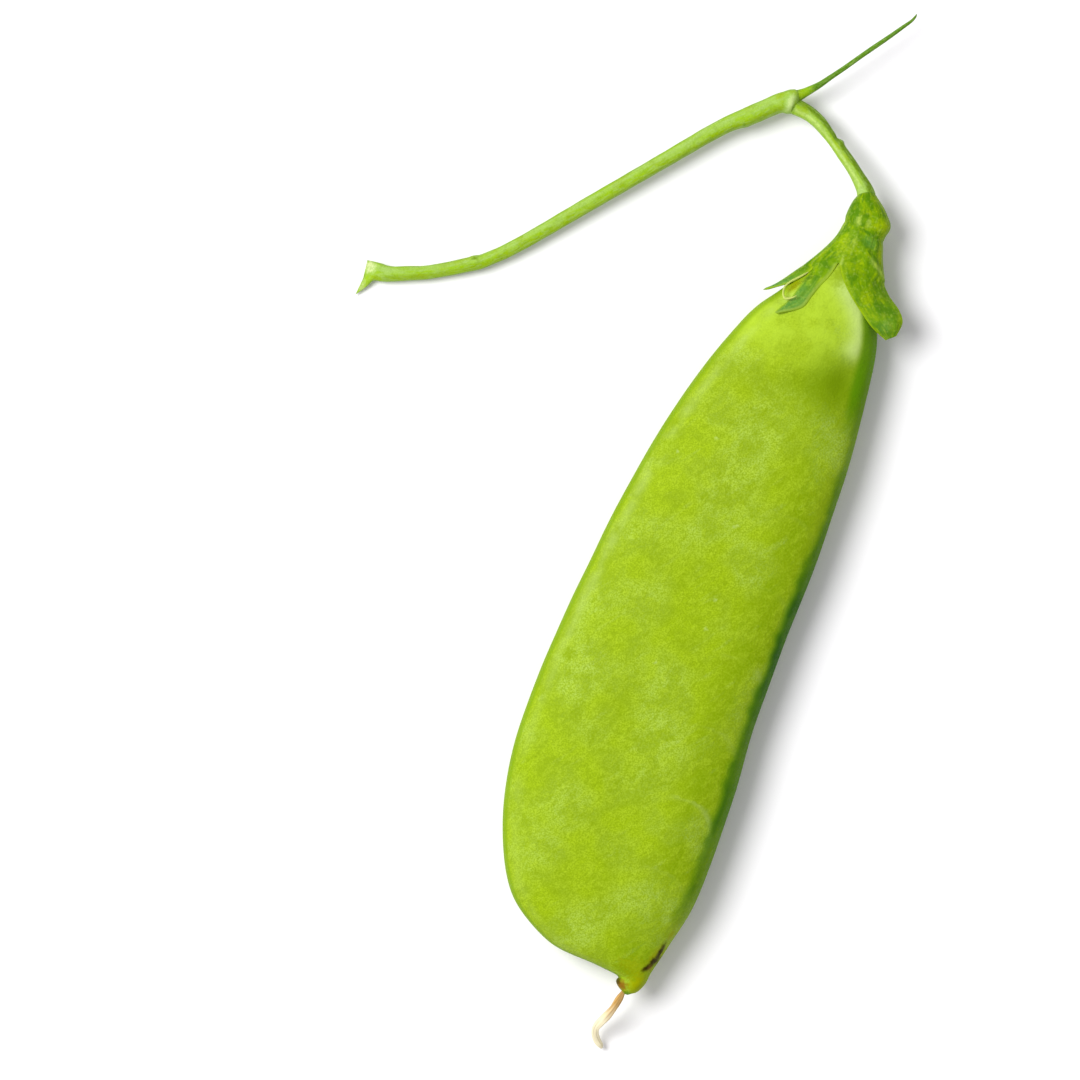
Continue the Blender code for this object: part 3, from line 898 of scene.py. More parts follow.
def pod_skin(settings):
    """Waxy green skin: patches, a pale net, dark flecks and grain, then its own zones, with painted shade and
    light.
    """
    skin = Skin("pod_skin", settings, "face")
    skin.over("shade", "shade", 0.9)
    skin.over("haze", skin.mottle(190.0, 0.4, 0.62), 0.52)
    skin.over("deep", skin.mottle(380.0, 0.45, 0.6), 0.7)
    net = skin.streaks(55.0, 1500.0, 0.6, 0.47, 0.62)
    skin.over("light", net, 0.42)
    skin.over("deep", skin.streaks(65.0, 1900.0, 0.55, 0.57, 0.7), 0.7)
    skin.over("bloom_and_sheen", skin.streaks(52.0, 1100.0, 0.2, 0.6, 0.8), 0.16)
    grain = skin.mottle(GRAIN_SCALE, 0.36, 0.64)
    skin.over("light", grain, 0.34)
    skin.over("deep", skin.mottle(PORE_SCALE, 0.36, 0.64), 0.75)

    # Painted light over the skin towards the calyx, with grain.
    lit_crown = skin.attribute("lit_crown")
    skin.over("light", skin.times(lit_crown, grain), 0.4)
    patchy = skin.plus(skin.times(skin.mottle(420.0, 0.4, 0.62), 0.45), 0.3)
    skin.over("lit_crown", lit_crown, patchy)
    broken = skin.mottle(330.0, 0.3, 0.6)
    skin.over("bloom_and_sheen", skin.times(skin.attribute("seed_ring"), broken), 0.2)
    skin.over("bloom_and_sheen", skin.times(skin.attribute("bloom_and_sheen"), broken), 0.22)
    # Painted shade in the dent under the shoulder.
    skin.over("hollow_shade", "hollow", 0.85)
    # Painted sheen along the fold beside the neck.
    skin.over("bloom_and_sheen", "shoulder", 0.62)
    skin.over("rim", "rim", 0.75)
    # Painted shade on the flank under the shoulder and beside the wall.
    skin.over("shaded_flank", "shaded_flank", 0.8)
    skin.over("shaded_flank", "wall_shade_side", 0.8)
    # Painted shade on the wall, broken by mottle.
    skin.over("wall", "wall", skin.plus(skin.times(skin.mottle(600.0, 0.36, 0.66), 0.3), 0.7))
    skin.marks(POD_MARKS, ragged=0.5, within=skin.attribute("upper"))
    height = skin.plus(skin.times(grain, 0.45), skin.times(net, 0.55))
    return skin.finish(grain, WAXY, height, relief=0.025, gloss=0.03)


# ---------------------------------------------------------------- making the calyx
def above_pod(x, y, drape):
    """The height over the pod's middle plane of a sheet that stands this far over the pod at X and Y."""
    edges = through(POD_EDGES, np.linspace(0, 1, 300))[::-1]
    bulging = np.interp(y, edges[:, 1], edges[:, 0])
    straight = np.interp(y, edges[:, 3], edges[:, 2])
    share = np.minimum(np.abs(x - (straight + bulging) / 2) / ((straight - bulging) / 2 + drape), 1)
    room = RELIEF_ROOM * (straight - bulging) / POD_WIDTH
    rise = half_thickness(straight - bulging) - room + drape
    return rise * (1 - share**SECTION_POWER) ** (1 / SECTION_POWER) + shoulder_lift(x, y)


def lobe_edge(points, start):
    """A lobe's edge from its start on the rim, with None read as the height at which it lies on the pod."""
    knots = [start]
    for x, y, height in points:
        rise = above_pod(np.float64(x), np.float64(y), MARGIN_DRAPE) if height is None else height
        knots.append((x, y, MID_HEIGHT + rise))
    return through(knots, np.linspace(0, 1, LOBE_ROWS + 1))[1:]


def lobe_grid(one_edge, other_edge, arch, count):
    """A lobe's points, straight from one edge to the other and raised by arch times a parabola."""
    across = np.linspace(0, 1, count)[None, :, None]
    hump = 4 * across * (1 - across)
    return one_edge[:, None] + (other_edge - one_edge)[:, None] * across + arch[:, None] * hump


def lobe_on_pod(lobe, rim):
    """A lobe over the pod, from the rim to its tip, which rests on the pod wherever it would cut into it.

    It is straight from edge to edge, plus an arch that falls to a quarter at the tip. The rim's own roundness
    is carried down the first rows, by the fourth power of the way left to the tip."""
    first, last = (side * STEP_CELLS for side in lobe["sides"])
    count = last - first + 1
    carried = np.linspace(1, 0, LOBE_ROWS + 1)[1:, None] ** 4
    arch = np.linspace(1, 0.25, LOBE_ROWS)[:, None] * (1 - carried) * np.array([0, 0, lobe["arch"]])
    grid = lobe_grid(lobe_edge(lobe["right"], rim[first]), lobe_edge(lobe["left"], rim[last]), arch, count)
    bulge = rim[first : last + 1] - np.linspace(rim[first], rim[last], count)
    grid = grid + carried[:, :, None] * bulge
    drape = MARGIN_DRAPE + (CALYX_DRAPE - MARGIN_DRAPE) * np.sin(np.linspace(0, np.pi, count))[None, :]
    lying = MID_HEIGHT + above_pod(grid[:, :, 0], grid[:, :, 1], drape)
    grid[:, :, 2] = np.maximum(grid[:, :, 2], lying)
    return grid


def edge_lobe(rim):
    """The lobe that folds round the pod's bulging edge: a trough whose height and depth fall to its tip."""
    first, last = (side * STEP_CELLS for side in EDGE_LOBE["sides"])
    start = rim[(first + last) // 2]
    knots = [(start[0], start[1], (rim[first][2] - rim[last][2]) / 2, rim[first][0] - start[0])]
    knots += EDGE_LOBE["outline"]
    x, y, half, inset = through(knots, np.linspace(0, 1, LOBE_ROWS + 1))[1:].T
    upper = np.column_stack([x + inset, y + inset * 0.5, MID_HEIGHT + half])
    lower = np.column_stack([x + inset, y + inset * 0.5, MID_HEIGHT - half])
    arch = np.column_stack([-inset, -inset * 0.5, 0 * inset])
    return lobe_grid(upper, lower, arch, last - first + 1)


def mirrored(grid, rim):
    """A lobe turned over to the pod's underside and drawn in towards the rim."""
    turned = grid[:, ::-1] * (1, 1, -1) + (0, 0, 2 * MID_HEIGHT)
    return rim + (turned - rim) * UNDER_SHORTENING


def fold_distance(x, y):
    """Distance in plan past the folded edge, and the share of the way along it."""
    start, end = np.array(FOLD_START), np.array(FOLD_END)
    length = np.linalg.norm(end - start)
    way = (end - start) / length
    past = (x - start[0]) * -way[1] + (y - start[1]) * way[0]
    return past, ((x - start[0]) * way[0] + (y - start[1]) * way[1]) / length


def cup_surface(settings, angles):
    """The cup's grid of points and the paint of its folded edge: painted shade in its crease, and a pale
    streak.

    It is a loft of superellipses, bowed towards the stalk by the squared sine of the angle. Along its normals
    it is raised by its lumps and veins, and lowered at its waist and past the folded edge. Near the rim it
    rests on the pod."""
    sections = evenly_through(CUP_EDGES, CUP_ROWS)
    width = np.linalg.norm(sections[:, 2:4] - sections[:, 0:2], axis=1)
    lift = np.interp(sections[:, 1], (37.0, 40.4), (RIM_LIFT, CALYX_LIFT))
    cup = rings(sections, MID_HEIGHT, half_thickness(width) + lift, angles, SECTION_POWER)
    cup[:, :, 1] += sections[:, 4:5] * np.sin(angles) ** 2
    x, y = cup[:, :, 0], cup[:, :, 1]
    past, share = fold_distance(x, y)
    on_fold = smooth_step(share, -0.25, 0.1) * (cup[:, :, 2] > MID_HEIGHT)
    veins = np.cos(angles[None, :] * VEINS + 0.6 * np.sin(y * 0.9)) * smooth_step(y, 44.5, 40)
    height = settings.vein_height / MM * veins
    for lump_x, lump_y, squeeze, lump_width, lump_height in CUP_LUMPS:
        height += lump_height * bell(np.hypot(x - lump_x, (y - lump_y) * squeeze), lump_width)
    height -= WAIST_DEPTH * bell(y - WAIST_Y - WAIST_SLOPE * (x - WAIST_X), 0.28)
    step = on_fold * smooth_step(past, -0.1, 0.15) * bell(past, 1.4)
    height -= FOLD_DEPTH * step * smooth_step(y, 37.6, 38.4)
    cup = cup + outward(cup) * (height * smooth_step(y, 45.2, 44.4))[:, :, None]
    lying = MID_HEIGHT + above_pod(cup[:, :, 0], cup[:, :, 1], CALYX_DRAPE) - 2 * smooth_step(y, 38.0, 39.6)
    upper = cup[:, :, 2] > MID_HEIGHT
    cup[:, :, 2] = np.where(upper, np.maximum(cup[:, :, 2], lying), cup[:, :, 2])
    # Painted shade in the crease of the folded edge.
    crease = bell(past - 0.08, 0.15) * on_fold * smooth_step(share, 0.75, 0.5)
    streak = bell(past + 0.28, 0.16) * on_fold * smooth_step(share, 0.25, 0.5) * smooth_step(share, 1.1, 0.9)
    return cup, {"crease": crease, "streak": streak}


def thinned(from_edge):
    """The share of the wall's thickness this many cells from a lobe's edge."""
    return np.array(EDGE_THINNING)[np.minimum(from_edge, len(EDGE_THINNING) - 1)]


def cup_thickness(sides):
    """The share of the wall's thickness over the cup, thinner at the rim where two lobes part."""
    from_rim = np.arange(CUP_ROWS)[::-1, None]
    share = np.ones((CUP_ROWS, sides))
    for step in SINUS_STEPS:
        aside = np.abs(np.arange(sides) - step * STEP_CELLS)[None, :]
        share = np.minimum(share, thinned(np.maximum(aside, from_rim)))
    return share


def calyx_surface(settings):
    """The calyx's points, faces, paint masks and share of the wall's thickness.

    Each lobe is a grid from its part of the cup's rim, so that a column of the cup goes on down a lobe. The
    skin vector is the cosine and sine of the turn round the cup, and the way down."""
    sides = STEPS_ROUND * STEP_CELLS
    angles = np.linspace(0, 2 * np.pi, sides, endpoint=False)
    cup, fold = cup_surface(settings, angles)
    rim = np.vstack([cup[-1], cup[-1][:1]])
    broad, side = lobe_on_pod(BROAD_LOBE, rim), lobe_on_pod(SIDE_LOBE, rim)
    lobes = [
        (BROAD_LOBE["sides"], broad, BROAD_LOBE["blue"], 0),
        (SIDE_LOBE["sides"], side, SIDE_LOBE["blue"], 1),
        (EDGE_LOBE["sides"], edge_lobe(rim), EDGE_LOBE["blue"], 0),
    ]
    for (first, last), grid, blue, _ in lobes[:2]:
        under = (STEPS_ROUND - last, STEPS_ROUND - first)
        rim_part = rim[under[0] * STEP_CELLS : under[1] * STEP_CELLS + 1]
        lobes.append((under, mirrored(grid, rim_part), blue, 0))

    index = np.arange(CUP_ROWS * sides).reshape(CUP_ROWS, sides)
    rim_index = np.append(index[-1], index[-1][0])
    faces = [closed_cells(index), fan(index[0], index.size)]
    way = along_surface(cup)
    skin = skin_vector(cup, angles)
    pole = (cup[:1].mean(axis=1, keepdims=True), skin[:1, :1], np.ones((1, 1)), {})
    parts = [(cup, skin, cup_thickness(sides), fold), pole]
    for (first, last), grid, blue, line in lobes:
        rows, count = grid.shape[:2]
        own = sum(part[2].size for part in parts) + np.arange(rows * count).reshape(rows, count)
        faces.append(cells(np.vstack([rim_index[first * STEP_CELLS : last * STEP_CELLS + 1], own])))
        down, across = np.meshgrid(np.linspace(0, 1, rows), np.linspace(0, 1, count), indexing="ij")
        wide = np.linalg.norm(grid[:, -1] - grid[:, 0], axis=1)[:, None]
        turn = 2 * np.pi * (first + across * (last - first)) / STEPS_ROUND
        skin = np.dstack([np.cos(turn), np.sin(turn), way[-1] + along_surface(grid)[:, None] + 0 * across])
        row, column = np.indices((rows, count))
        from_edge = np.minimum(np.minimum(column, count - 1 - column), rows - 1 - row)
        paint = {
            "margin": bell(np.minimum(across, 1 - across) * wide, 0.16),
            "blue": blue * smooth_step(down, 0.15, 0.75),
            "lobe": 0 * across + 1,
            "line": line * bell(across * wide - 0.22, 0.12),
        }
        parts.append((grid, skin, thinned(from_edge), paint))
    points, skins = (np.concatenate([part[i].reshape(-1, 3) for part in parts]) for i in (0, 1))
    attributes = {"skin": skins}
    for name in CALYX_MASKS:
        attributes[name] = np.concatenate([part[3].get(name, 0 * part[2]).ravel() for part in parts])
    return points, faces, attributes, np.concatenate([part[2].ravel() for part in parts])


# Tint, X and Y of the middle, half sizes, turn in degrees, strength.
CALYX_MARKS = (
    ("dark", (1.5, 43.4), (0.75, 1.7), 8.0, 0.6),
    ("dark", (3.2, 44.5), (1.5, 0.8), -30.0, 0.55),
    ("yellow", (4.9, 42.5), (1.3, 1.2), 0.0, 1.0),
    ("pale", (2.5, 42.25), (0.45, 0.75), 10.0, 0.9),
    ("pale", (3.5, 42.4), (0.36, 0.7), 0.0, 0.65),
    ("dark", (3.9, 41.4), (1.9, 0.28), -10.0, 1.0),
    ("dark", (1.9, 41.9), (0.8, 0.45), -5.0, 0.7),
    ("pale", (1.35, 45.1), (0.5, 0.7), 20.0, 0.7),
    ("yellow", (3.4, 44.9), (0.8, 0.6), -30.0, 0.6),
    ("pale", (1.2, 41.3), (0.25, 0.9), -5.0, 0.5),
    ("dark", (4.0, 40.4), (0.9, 0.6), -20.0, 0.8),
    # Painted shadow along the folded edge.
    ("dark", (4.6, 39.6), (0.9, 0.16), -38.0, 0.9),
    ("yellow", (1.8, 39.7), (0.95, 1.6), -10.0, 0.8),
    ("pale", (2.85, 40.0), (0.2, 1.7), 3.0, 0.4),
    ("blue", (4.3, 40.6), (1.2, 0.9), -20.0, 0.4),
    ("yellow", (5.9, 39.4), (0.7, 1.6), 25.0, 0.6),
    ("pale", (2.3, 37.9), (0.24, 0.85), 5.0, 0.75),
    ("yellow", (0.2, 37.6), (0.35, 1.3), -20.0, 0.5),
    ("yellow", (5.8, 35.2), (1.2, 0.9), -35.0, 0.7),
    ("yellow", (4.3, 37.6), (1.5, 0.6), -40.0, 0.5),
    ("blue", (8.6, 33.3), (1.0, 1.2), -20.0, 0.4),
    ("dark", (7.0, 36.3), (1.4, 0.7), -40.0, 0.5),
    ("dark", (9.9, 33.6), (0.4, 1.0), 10.0, 0.5),
    ("dark", (-0.2, 33.6), (0.3, 2.0), -20.0, 0.5),
)


def calyx_skin(settings):
    """Leafy green with veins along its columns, mottles, pale margins and spots, and bluish narrow tips."""
    skin = Skin("calyx_skin", settings, "green")
    skin.over("dark", skin.mottle(850.0, 0.44, 0.62), 0.8)
    skin.over("yellow", skin.fibres((4.0, 4.0, 0.7), 0.45, 0.62), 0.75)
    stripes = skin.fibres((6.0, 6.0, 0.3), 0.42, 0.62)
    skin.over("dark", stripes, skin.plus(skin.times(skin.attribute("lobe"), 0.3), 0.15))
    skin.over("blue", "blue", 0.85)
    skin.marks(CALYX_MARKS, ragged=0.6)
    flecks = skin.mottle(3000.0, 0.5, 0.7)
    skin.over("pale", flecks, 0.28)
    skin.over("dark", skin.mottle(GRAIN_SCALE, 0.36, 0.64), 0.3)
    skin.over("yellow", "margin", 0.8)
    skin.over("pale", "line", 0.6)
    skin.over("pale", "streak", 0.6)
    # Painted shade in the crease.
    skin.over("dark", "crease", 0.8)
    height = skin.plus(skin.times(stripes, 0.6), skin.times(flecks, 0.4))
    return skin.finish(stripes, WAXY, height, relief=0.04, gloss=0.06)


# ---------------------------------------------------------------- making the stems and remnants
def stem_sections(knots, count):
    """Sections of a round stem at even steps along its centre line.

    Each is both edges, a radius to either side of the line, then the mid height, the radius and no bow."""
    line = through(knots, np.linspace(0, 1, 12 * len(knots)))
    way = np.gradient(line[:, 0:2], axis=0)
    way /= np.linalg.norm(way, axis=1, keepdims=True)
    side = np.column_stack([-way[:, 1], way[:, 0]]) * line[:, 3:4]
    edges = np.hstack([line[:, 0:2] - side, line[:, 0:2] + side, line[:, 2:4], 0 * line[:, 3:4]])
    return evenly_through(edges, count)


def add_stem(name, sections, material, sides, relief):
    """A stem over its sections, with relief, a function of the way along and the angle, raising its skin.

    A section's bow pushes its middle along X by the bow times the squared sine of the angle."""
    angles = np.linspace(0, 2 * np.pi, sides, endpoint=False)
    points = rings(sections, sections[:, 4], sections[:, 5], angles, 2.0)
    points[:, :, 0] += sections[:, 6:7] * np.sin(angles) ** 2
    skin = skin_vector(points, angles)
    fade = smooth_step(sections[:, 5], 0.05, 0.3)[:, None]
    lift = relief(points, skin[:, :, 2], angles[None, :]) * fade
    points = points + outward(points) * lift[:, :, None]
    points[:, :, 2] = np.maximum(points[:, :, 2], 0)
    return add_closed_piece(name, points, {"skin": skin}, material)


def bumps(points, rows):
    """The sum of bell curves of the distance in plan from each place."""
    x, y = points[:, :, 0], points[:, :, 1]
    return sum(height * bell(np.hypot(x - at_x, y - at_y), width) for at_x, at_y, width, height in rows)


def ridged(points, along, angle):
    """Five low ridges that wind slowly along a stem."""
    return 0.02 * np.cos(5 * angle + 0.12 * along) + 0.008 * np.sin(along * 2.3 + 3 * angle)


def peduncle_relief(points, along, angle):
    """Ridges, a bump at each old leaf scar, and the collar at the node's end."""
    collar = 0.07 * bell(points[:, :, 0] - COLLAR_X, 0.25) * smooth_step(points[:, :, 1], 49, 50)
    return ridged(points, along, angle) + bumps(points, LEAF_SCARS) + collar


def pedicel_relief(points, along, angle):
    """Ridges, a groove along one side, and the bump and notch of a fallen bract."""
    groove = 0.05 * bell(np.cos(angle) - 0.55, 0.2) * (np.sin(angle) > 0)
    return ridged(points, along, angle) + bumps(points, BRACT_SCAR) - groove


def smooth_stem(points, along, angle):
    """Nearly no relief, for a thin stem."""
    return 0.006 * np.cos(4 * angle + 0.5 * along)


def dry_relief(points, along, angle):
    """Deep fibres and a twist, as a shrivelled thread has."""
    return 0.05 * np.cos(2 * angle + 1.1 * along) + 0.03 * np.cos(7 * angle + 0.4 * along)


# Strips along a stem: tint, place and half width as cosines of the angle round it, strength.
# On the peduncle the +1 side faces away from the key light: the pale strip there is painted light on the shaded
# side, and the dark strip at -1 painted shade on the lit edge, which soften the shading across the stem.
PEDUNCLE_STRIPS = (
    ("green", 0.35, 0.7, 0.6),
    ("yellow", 0.6, 0.55, 0.6),
    ("pale", -0.45, 0.5, 0.4),
    ("dark", -1.0, 0.25, 0.45),
    ("pale", 1.0, 0.3, 0.5),
)
# On the pedicel the +1 side faces away from the key light: its dark strips are painted shade, its stripes
# painted highlights.
PEDICEL_STRIPS = (
    ("dark", 0.75, 0.8, 1.0),
    ("dark", 0.6, 0.5, 1.0),
    ("stripe", -0.42, 0.4, 1.0),
    ("stripe", -1.0, 0.3, 0.3),
)
TIP_STRIPS = (("tip", 0.0, 4.0, 1.0),)
# Marks: tint, X and Y of the middle, half sizes, turn in degrees, strength.
PEDUNCLE_MARKS = (
    ("yellow", (-9.1, 51.5), (0.9, 0.5), 40.0, 0.8),
    ("yellow", (-8.0, 52.2), (0.6, 0.4), 0.0, 0.8),
    ("pale", (-7.95, 51.1), (0.7, 1.5), 0.0, 1.0),
    ("cream", (-7.9, 51.1), (0.45, 1.2), 0.0, 0.4),
    ("dark", (-7.4, 50.4), (0.2, 0.9), 12.0, 0.3),
    ("dark", (-32.3, 25.8), (0.55, 0.25), 38.0, 0.9),
    ("pale", (-33.1, 25.15), (0.5, 0.25), 30.0, 0.7),
    ("dark", (-11.5, 47.5), (0.3, 0.25), 45.0, 0.6),
    ("yellow", (-36.8, 22.2), (1.2, 0.4), 20.0, 0.9),
    ("yellow", (-41.0, 20.5), (1.0, 0.4), 0.0, 0.9),
    ("pale", (-40.2, 21.6), (0.9, 0.9), 0.0, 0.6),
    ("cream", (-41.95, 19.2), (0.5, 1.3), 10.0, 0.4),
    ("cream", (-41.95, 21.4), (0.95, 1.0), 0.0, 0.95),
)
PEDICEL_MARKS = (
    ("dark", (-2.2, 49.35), (0.3, 0.4), 30.0, 0.8),
    ("yellow", (-6.6, 51.0), (0.9, 0.9), 0.0, 0.5),
    ("dark", (-7.35, 50.5), (0.18, 0.8), 8.0, 0.6),
    ("pale", (1.7, 45.2), (0.6, 0.7), 20.0, 0.8),
)
TIP_MARKS = (
    ("green", (-6.9, 52.7), (0.9, 1.3), -40.0, 0.8),
    ("yellow", (-7.3, 52.3), (0.8, 0.8), 0.0, 0.7),
)


def stem_skin(name, settings, base, strips, marks):
    """Stem skin: blotches and fibres along the stem, wide strips, marks and a fine grain."""
    skin = Skin(name, settings, base)
    skin.over("pale", skin.fibres((1.8, 1.8, 0.35), 0.42, 0.6), 0.5)
    skin.over("yellow", skin.mottle(500.0, 0.5, 0.62), 0.75)
    around = place(skin.tree, "SeparateXYZ", {0: skin.attribute("skin", "Vector")}).outputs["X"]
    for tint, centre, half_width, strength in strips:
        off = calculate(skin.tree, "ABSOLUTE", calculate(skin.tree, "SUBTRACT", around, centre), 0.0)
        skin.over(tint, cut(skin.tree, off, half_width, 0.0), strength)
    skin.over("dark", skin.mottle(1700.0, 0.47, 0.64), 0.2)
    fibres = skin.fibres((4.0, 4.0, 1.2), 0.48, 0.62)
    skin.over("pale", fibres, 0.42)
    skin.marks(marks, ragged=0.5)
    grain = skin.mottle(GRAIN_SCALE, 0.38, 0.62)
    skin.over("pale", grain, 0.16)
    skin.over("dark", skin.mottle(PORE_SCALE, 0.36, 0.64), 0.2)
    height = skin.plus(skin.times(fibres, 0.6), skin.times(grain, 0.4))
    return skin.finish(grain, WAXY, height, relief=0.02, gloss=0.06)


def dry_skin(name, settings, far_tint, turn_at, fibre_strength):
    """Dry thread: tan near the beak, another tint beyond the turning place, with rusty fibres along it."""
    skin = Skin(name, settings, "tan")
    along = place(skin.tree, "SeparateXYZ", {0: skin.attribute("skin", "Vector")}).outputs["Z"]
    inputs = {"Value": along, "From Min": turn_at[0], "From Max": turn_at[1]}
    far = place(skin.tree, "MapRange", inputs).outputs[0]
    skin.over(far_tint, far)
    fibres = skin.fibres((3.0, 3.0, 0.45), 0.46, 0.64)
    near = calculate(skin.tree, "SUBTRACT", 1.15, far)
    skin.over("rust", skin.times(fibres, near), fibre_strength)
    return skin.finish(fibres, (0.55, 0.8), fibres, relief=0.02, gloss=0.1)


# ---------------------------------------------------------------- the stage and the add-on
# Metres and degrees, and millimetres for the lens.
FLOOR_HALF = 3.0
FLOOR_DROP = 0.00002
VIEW_CENTRE = (-0.0165, 0.00145, 0.004)
VIEW_WIDTH = 0.108
VIEW_TURN = 20.0
LENS = 300.0
SENSOR = 36.0
NEAREST, FARTHEST = 0.05, 20.0
KEY_DISTANCE = 0.8
KEY_SIZE = 0.46
KEY_AZIMUTH = 176.0  # from +X, seen from above
KEY_ELEVATION = 58.0


class PEAPOD_OT_pod(Operator):
    """Add the pod: its two ribbed seams, seed swellings, neck, shoulder and beak"""

    bl_idname = "peapod.pod"
    bl_label = "Pod"

    def execute(self, context):
        settings = context.scene.pea_pod.pod
        points, masks = pod_surface(settings)
        piece = add_closed_piece("pod_with_seams", points, masks, pod_skin(settings))
        stand_for(piece, "pod")
        return {"FINISHED"}


class PEAPOD_OT_calyx(Operator):
    """Add the calyx: a lumpy cup round the neck that ends in five lobes"""

    bl_idname = "peapod.calyx"
    bl_label = "Calyx"

    def execute(self, context):
        settings = context.scene.pea_pod.calyx
        points, faces, attributes, shares = calyx_surface(settings)
        piece = add_piece("calyx_cup_and_lobes", points, faces, attributes, calyx_skin(settings))
        thick = piece.vertex_groups.new(name="thickness")
        for share in EDGE_THINNING:
            thick.add(np.flatnonzero(shares == share).tolist(), share, "REPLACE")
        wall = piece.modifiers.new("Wall", "SOLIDIFY")
        wall.thickness = CALYX_WALL * MM
        wall.offset = 0
        wall.vertex_group = thick.name
        rounded = piece.modifiers.new("Rounded", "SUBSURF")
        rounded.levels = rounded.render_levels = 1
        stand_for(piece, "calyx")
        return {"FINISHED"}


class PEAPOD_OT_stems(Operator):
    """Add the peduncle with its node and torn end, the pedicel and the thin tip"""

    bl_idname = "peapod.stems"
    bl_label = "Stems"

    def execute(self, context):
        settings = context.scene.pea_pod.stalk
        steps, sides = PEDUNCLE_GRID
        sections = evenly_through(np.vstack([stem_sections(PEDUNCLE, 300), HEEL]), steps)
        skin = stem_skin("stalk_skin", settings, "green", PEDUNCLE_STRIPS, PEDUNCLE_MARKS)
        piece = add_stem("peduncle_with_node", sections, skin, sides, peduncle_relief)
        stand_for(piece, "peduncle")
        skin = stem_skin("pedicel_skin", settings, "green", PEDICEL_STRIPS, PEDICEL_MARKS)
        steps, sides = PEDICEL_GRID
        piece = add_stem("pedicel_with_scar", stem_sections(PEDICEL, steps), skin, sides, pedicel_relief)
        stand_for(piece, "pedicel")
        skin = stem_skin("tip_skin", settings, "tip", TIP_STRIPS, TIP_MARKS)
        steps, sides = STALK_TIP_GRID
        piece = add_stem("tip_with_hook", stem_sections(STALK_TIP, steps), skin, sides, smooth_stem)
        stand_for(piece, "stalk_tip")
        return {"FINISHED"}


class PEAPOD_OT_remnants(Operator):
    """Add the dry style at the beak and the dry stamens beside the calyx"""

    bl_idname = "peapod.remnants"
    bl_label = "Dry remnants"

    def execute(self, context):
        settings = context.scene.pea_pod.remnants
        skin = dry_skin("dry_style", settings, "straw", (1.8, 4.2), 0.6)
        steps, sides = STYLE_GRID
        piece = add_stem("style_dried", stem_sections(STYLE, steps), skin, sides, dry_relief)
        stand_for(piece, "style_remnant")
        skin = dry_skin("dry_stamens", settings, "thread", (-2.0, 0.0), 0.0)
        knots = np.array(STAMENS) + (0, 0, MID_HEIGHT, 0)
        steps, sides = STAMENS_GRID
        piece = add_stem("stamens_dried", stem_sections(knots, steps), skin, sides, smooth_stem)
        stand_for(piece, "stamen_remnant")
        return {"FINISHED"}


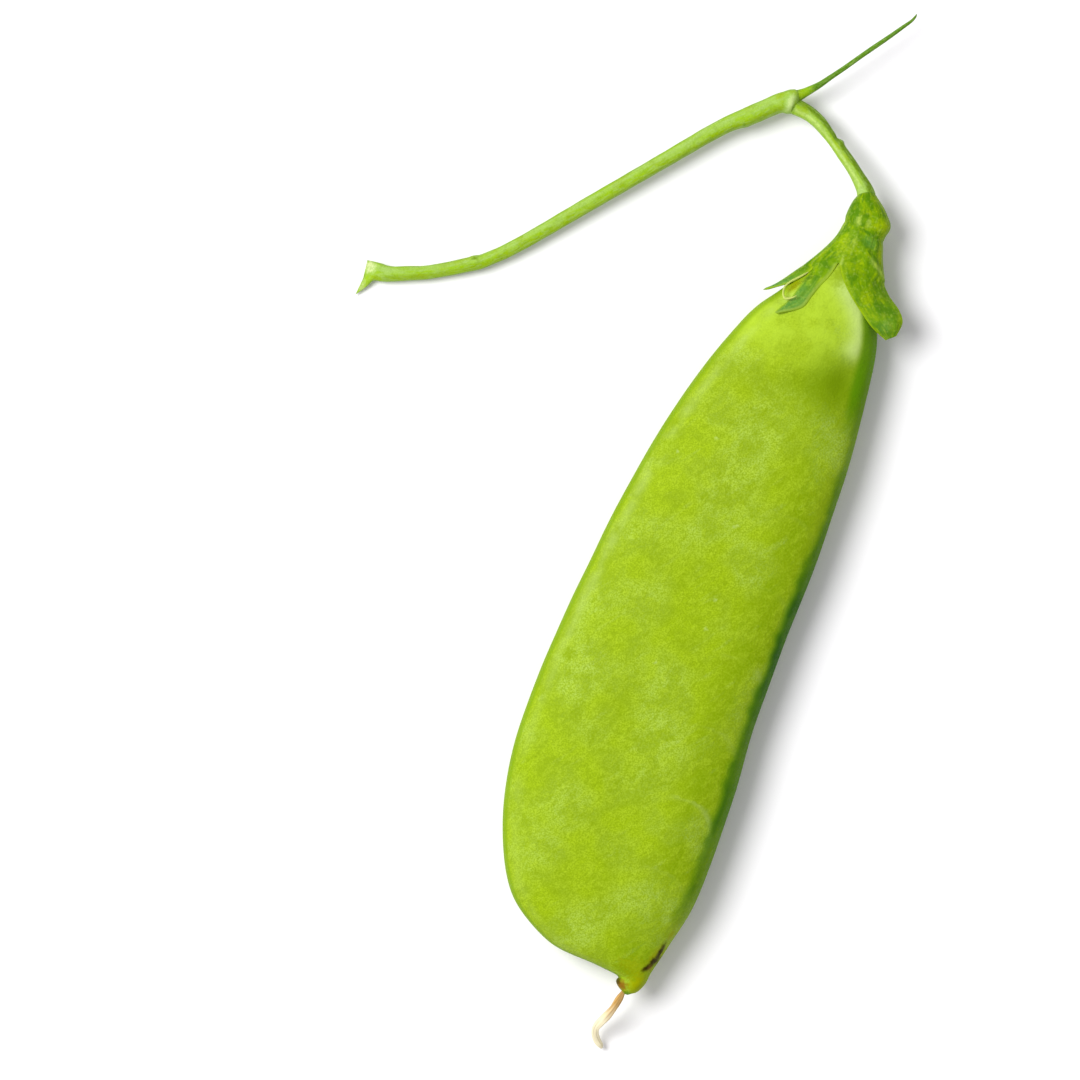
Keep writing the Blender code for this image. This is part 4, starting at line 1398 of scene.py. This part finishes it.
class PEAPOD_OT_stage(Operator):
    """Add the pale floor, the soft key light, the white surround and the camera"""

    bl_idname = "peapod.stage"
    bl_label = "Stage"

    def execute(self, context):
        settings = context.scene.pea_pod.stage
        self.add_floor(settings)
        self.add_light(context, settings)
        self.add_camera(context)
        context.scene.view_settings.view_transform = "Standard"
        return {"FINISHED"}

    def add_floor(self, settings):
        """A matt square just under the pod, which belongs to the stage only."""
        corners = np.array([(-1, -1), (1, -1), (1, 1), (-1, 1)]) * FLOOR_HALF / MM
        points = np.column_stack([corners, np.full(4, -FLOOR_DROP / MM)])
        material = bpy.data.materials.new("floor")
        material.use_nodes = True
        shader = material.node_tree.nodes["Principled BSDF"]
        shader.inputs["Base Color"].default_value = opaque(settings.floor)
        shader.inputs["Roughness"].default_value = 0.9
        shader.inputs["Specular IOR Level"].default_value = 0.0
        add_piece("floor", points, [np.array([[0, 1, 2, 3]])], {}, material)

    def add_light(self, context, settings):
        """The even surround and one soft disk of light, aimed at the middle of the view."""
        world = bpy.data.worlds.new("surround")
        world.use_nodes = True
        background = world.node_tree.nodes["Background"]
        background.inputs["Color"].default_value = opaque(settings.ambient_tint)
        background.inputs["Strength"].default_value = settings.ambient
        context.scene.world = world
        azimuth, elevation = np.radians(KEY_AZIMUTH), np.radians(KEY_ELEVATION)
        flat = np.cos(elevation)
        away = Vector((flat * np.cos(azimuth), flat * np.sin(azimuth), np.sin(elevation)))
        data = bpy.data.lights.new("key", "AREA")
        data.shape = "DISK"
        data.size = KEY_SIZE
        data.energy = settings.key_watts
        light = bpy.data.objects.new("key", data)
        light.location = Vector(VIEW_CENTRE) + away * KEY_DISTANCE
        light.rotation_euler = away.to_track_quat("Z", "Y").to_euler()
        context.scene.collection.objects.link(light)

    def add_camera(self, context):
        """A long lens that looks straight down and sees a square of the view's width."""
        data = bpy.data.cameras.new("camera")
        data.lens = LENS
        data.sensor_width = SENSOR
        data.clip_start, data.clip_end = NEAREST, FARTHEST
        camera = bpy.data.objects.new("camera", data)
        camera.location = Vector(VIEW_CENTRE) + Vector((0, 0, VIEW_WIDTH * LENS / SENSOR))
        camera.rotation_euler = (0, 0, np.radians(VIEW_TURN))
        context.scene.collection.objects.link(camera)
        context.scene.camera = camera


class PEAPOD_PT_panel(Panel):
    """The pea pod's operators and settings"""

    bl_idname = "PEAPOD_PT_panel"
    bl_label = "Pea Pod"
    bl_space_type = "VIEW_3D"
    bl_region_type = "UI"
    bl_category = "Pea Pod"

    def draw(self, context):
        settings = context.scene.pea_pod
        for operator, group in OPERATORS:
            box = self.layout.box()
            box.operator(operator.bl_idname)
            values = getattr(settings, group)
            for name in values.__annotations__:
                box.prop(values, name)


OPERATORS = (
    (PEAPOD_OT_pod, "pod"),
    (PEAPOD_OT_calyx, "calyx"),
    (PEAPOD_OT_stems, "stalk"),
    (PEAPOD_OT_remnants, "remnants"),
    (PEAPOD_OT_stage, "stage"),
)
SETTINGS = (PodSettings, CalyxSettings, StalkSettings, RemnantSettings, StageSettings, PeaPodSettings)


def register():
    for kind in (*SETTINGS, *(operator for operator, _ in OPERATORS), PEAPOD_PT_panel):
        bpy.utils.register_class(kind)
    bpy.types.Scene.pea_pod = PointerProperty(type=PeaPodSettings)


def unregister():
    del bpy.types.Scene.pea_pod
    for kind in (PEAPOD_PT_panel, *(operator for operator, _ in OPERATORS), *SETTINGS[::-1]):
        bpy.utils.unregister_class(kind)


def main():
    """Registers the add-on and builds every piece."""
    register()
    for operator, _ in OPERATORS:
        group, name = operator.bl_idname.split(".")
        getattr(getattr(bpy.ops, group), name)()


if __name__ == "__main__":
    main()
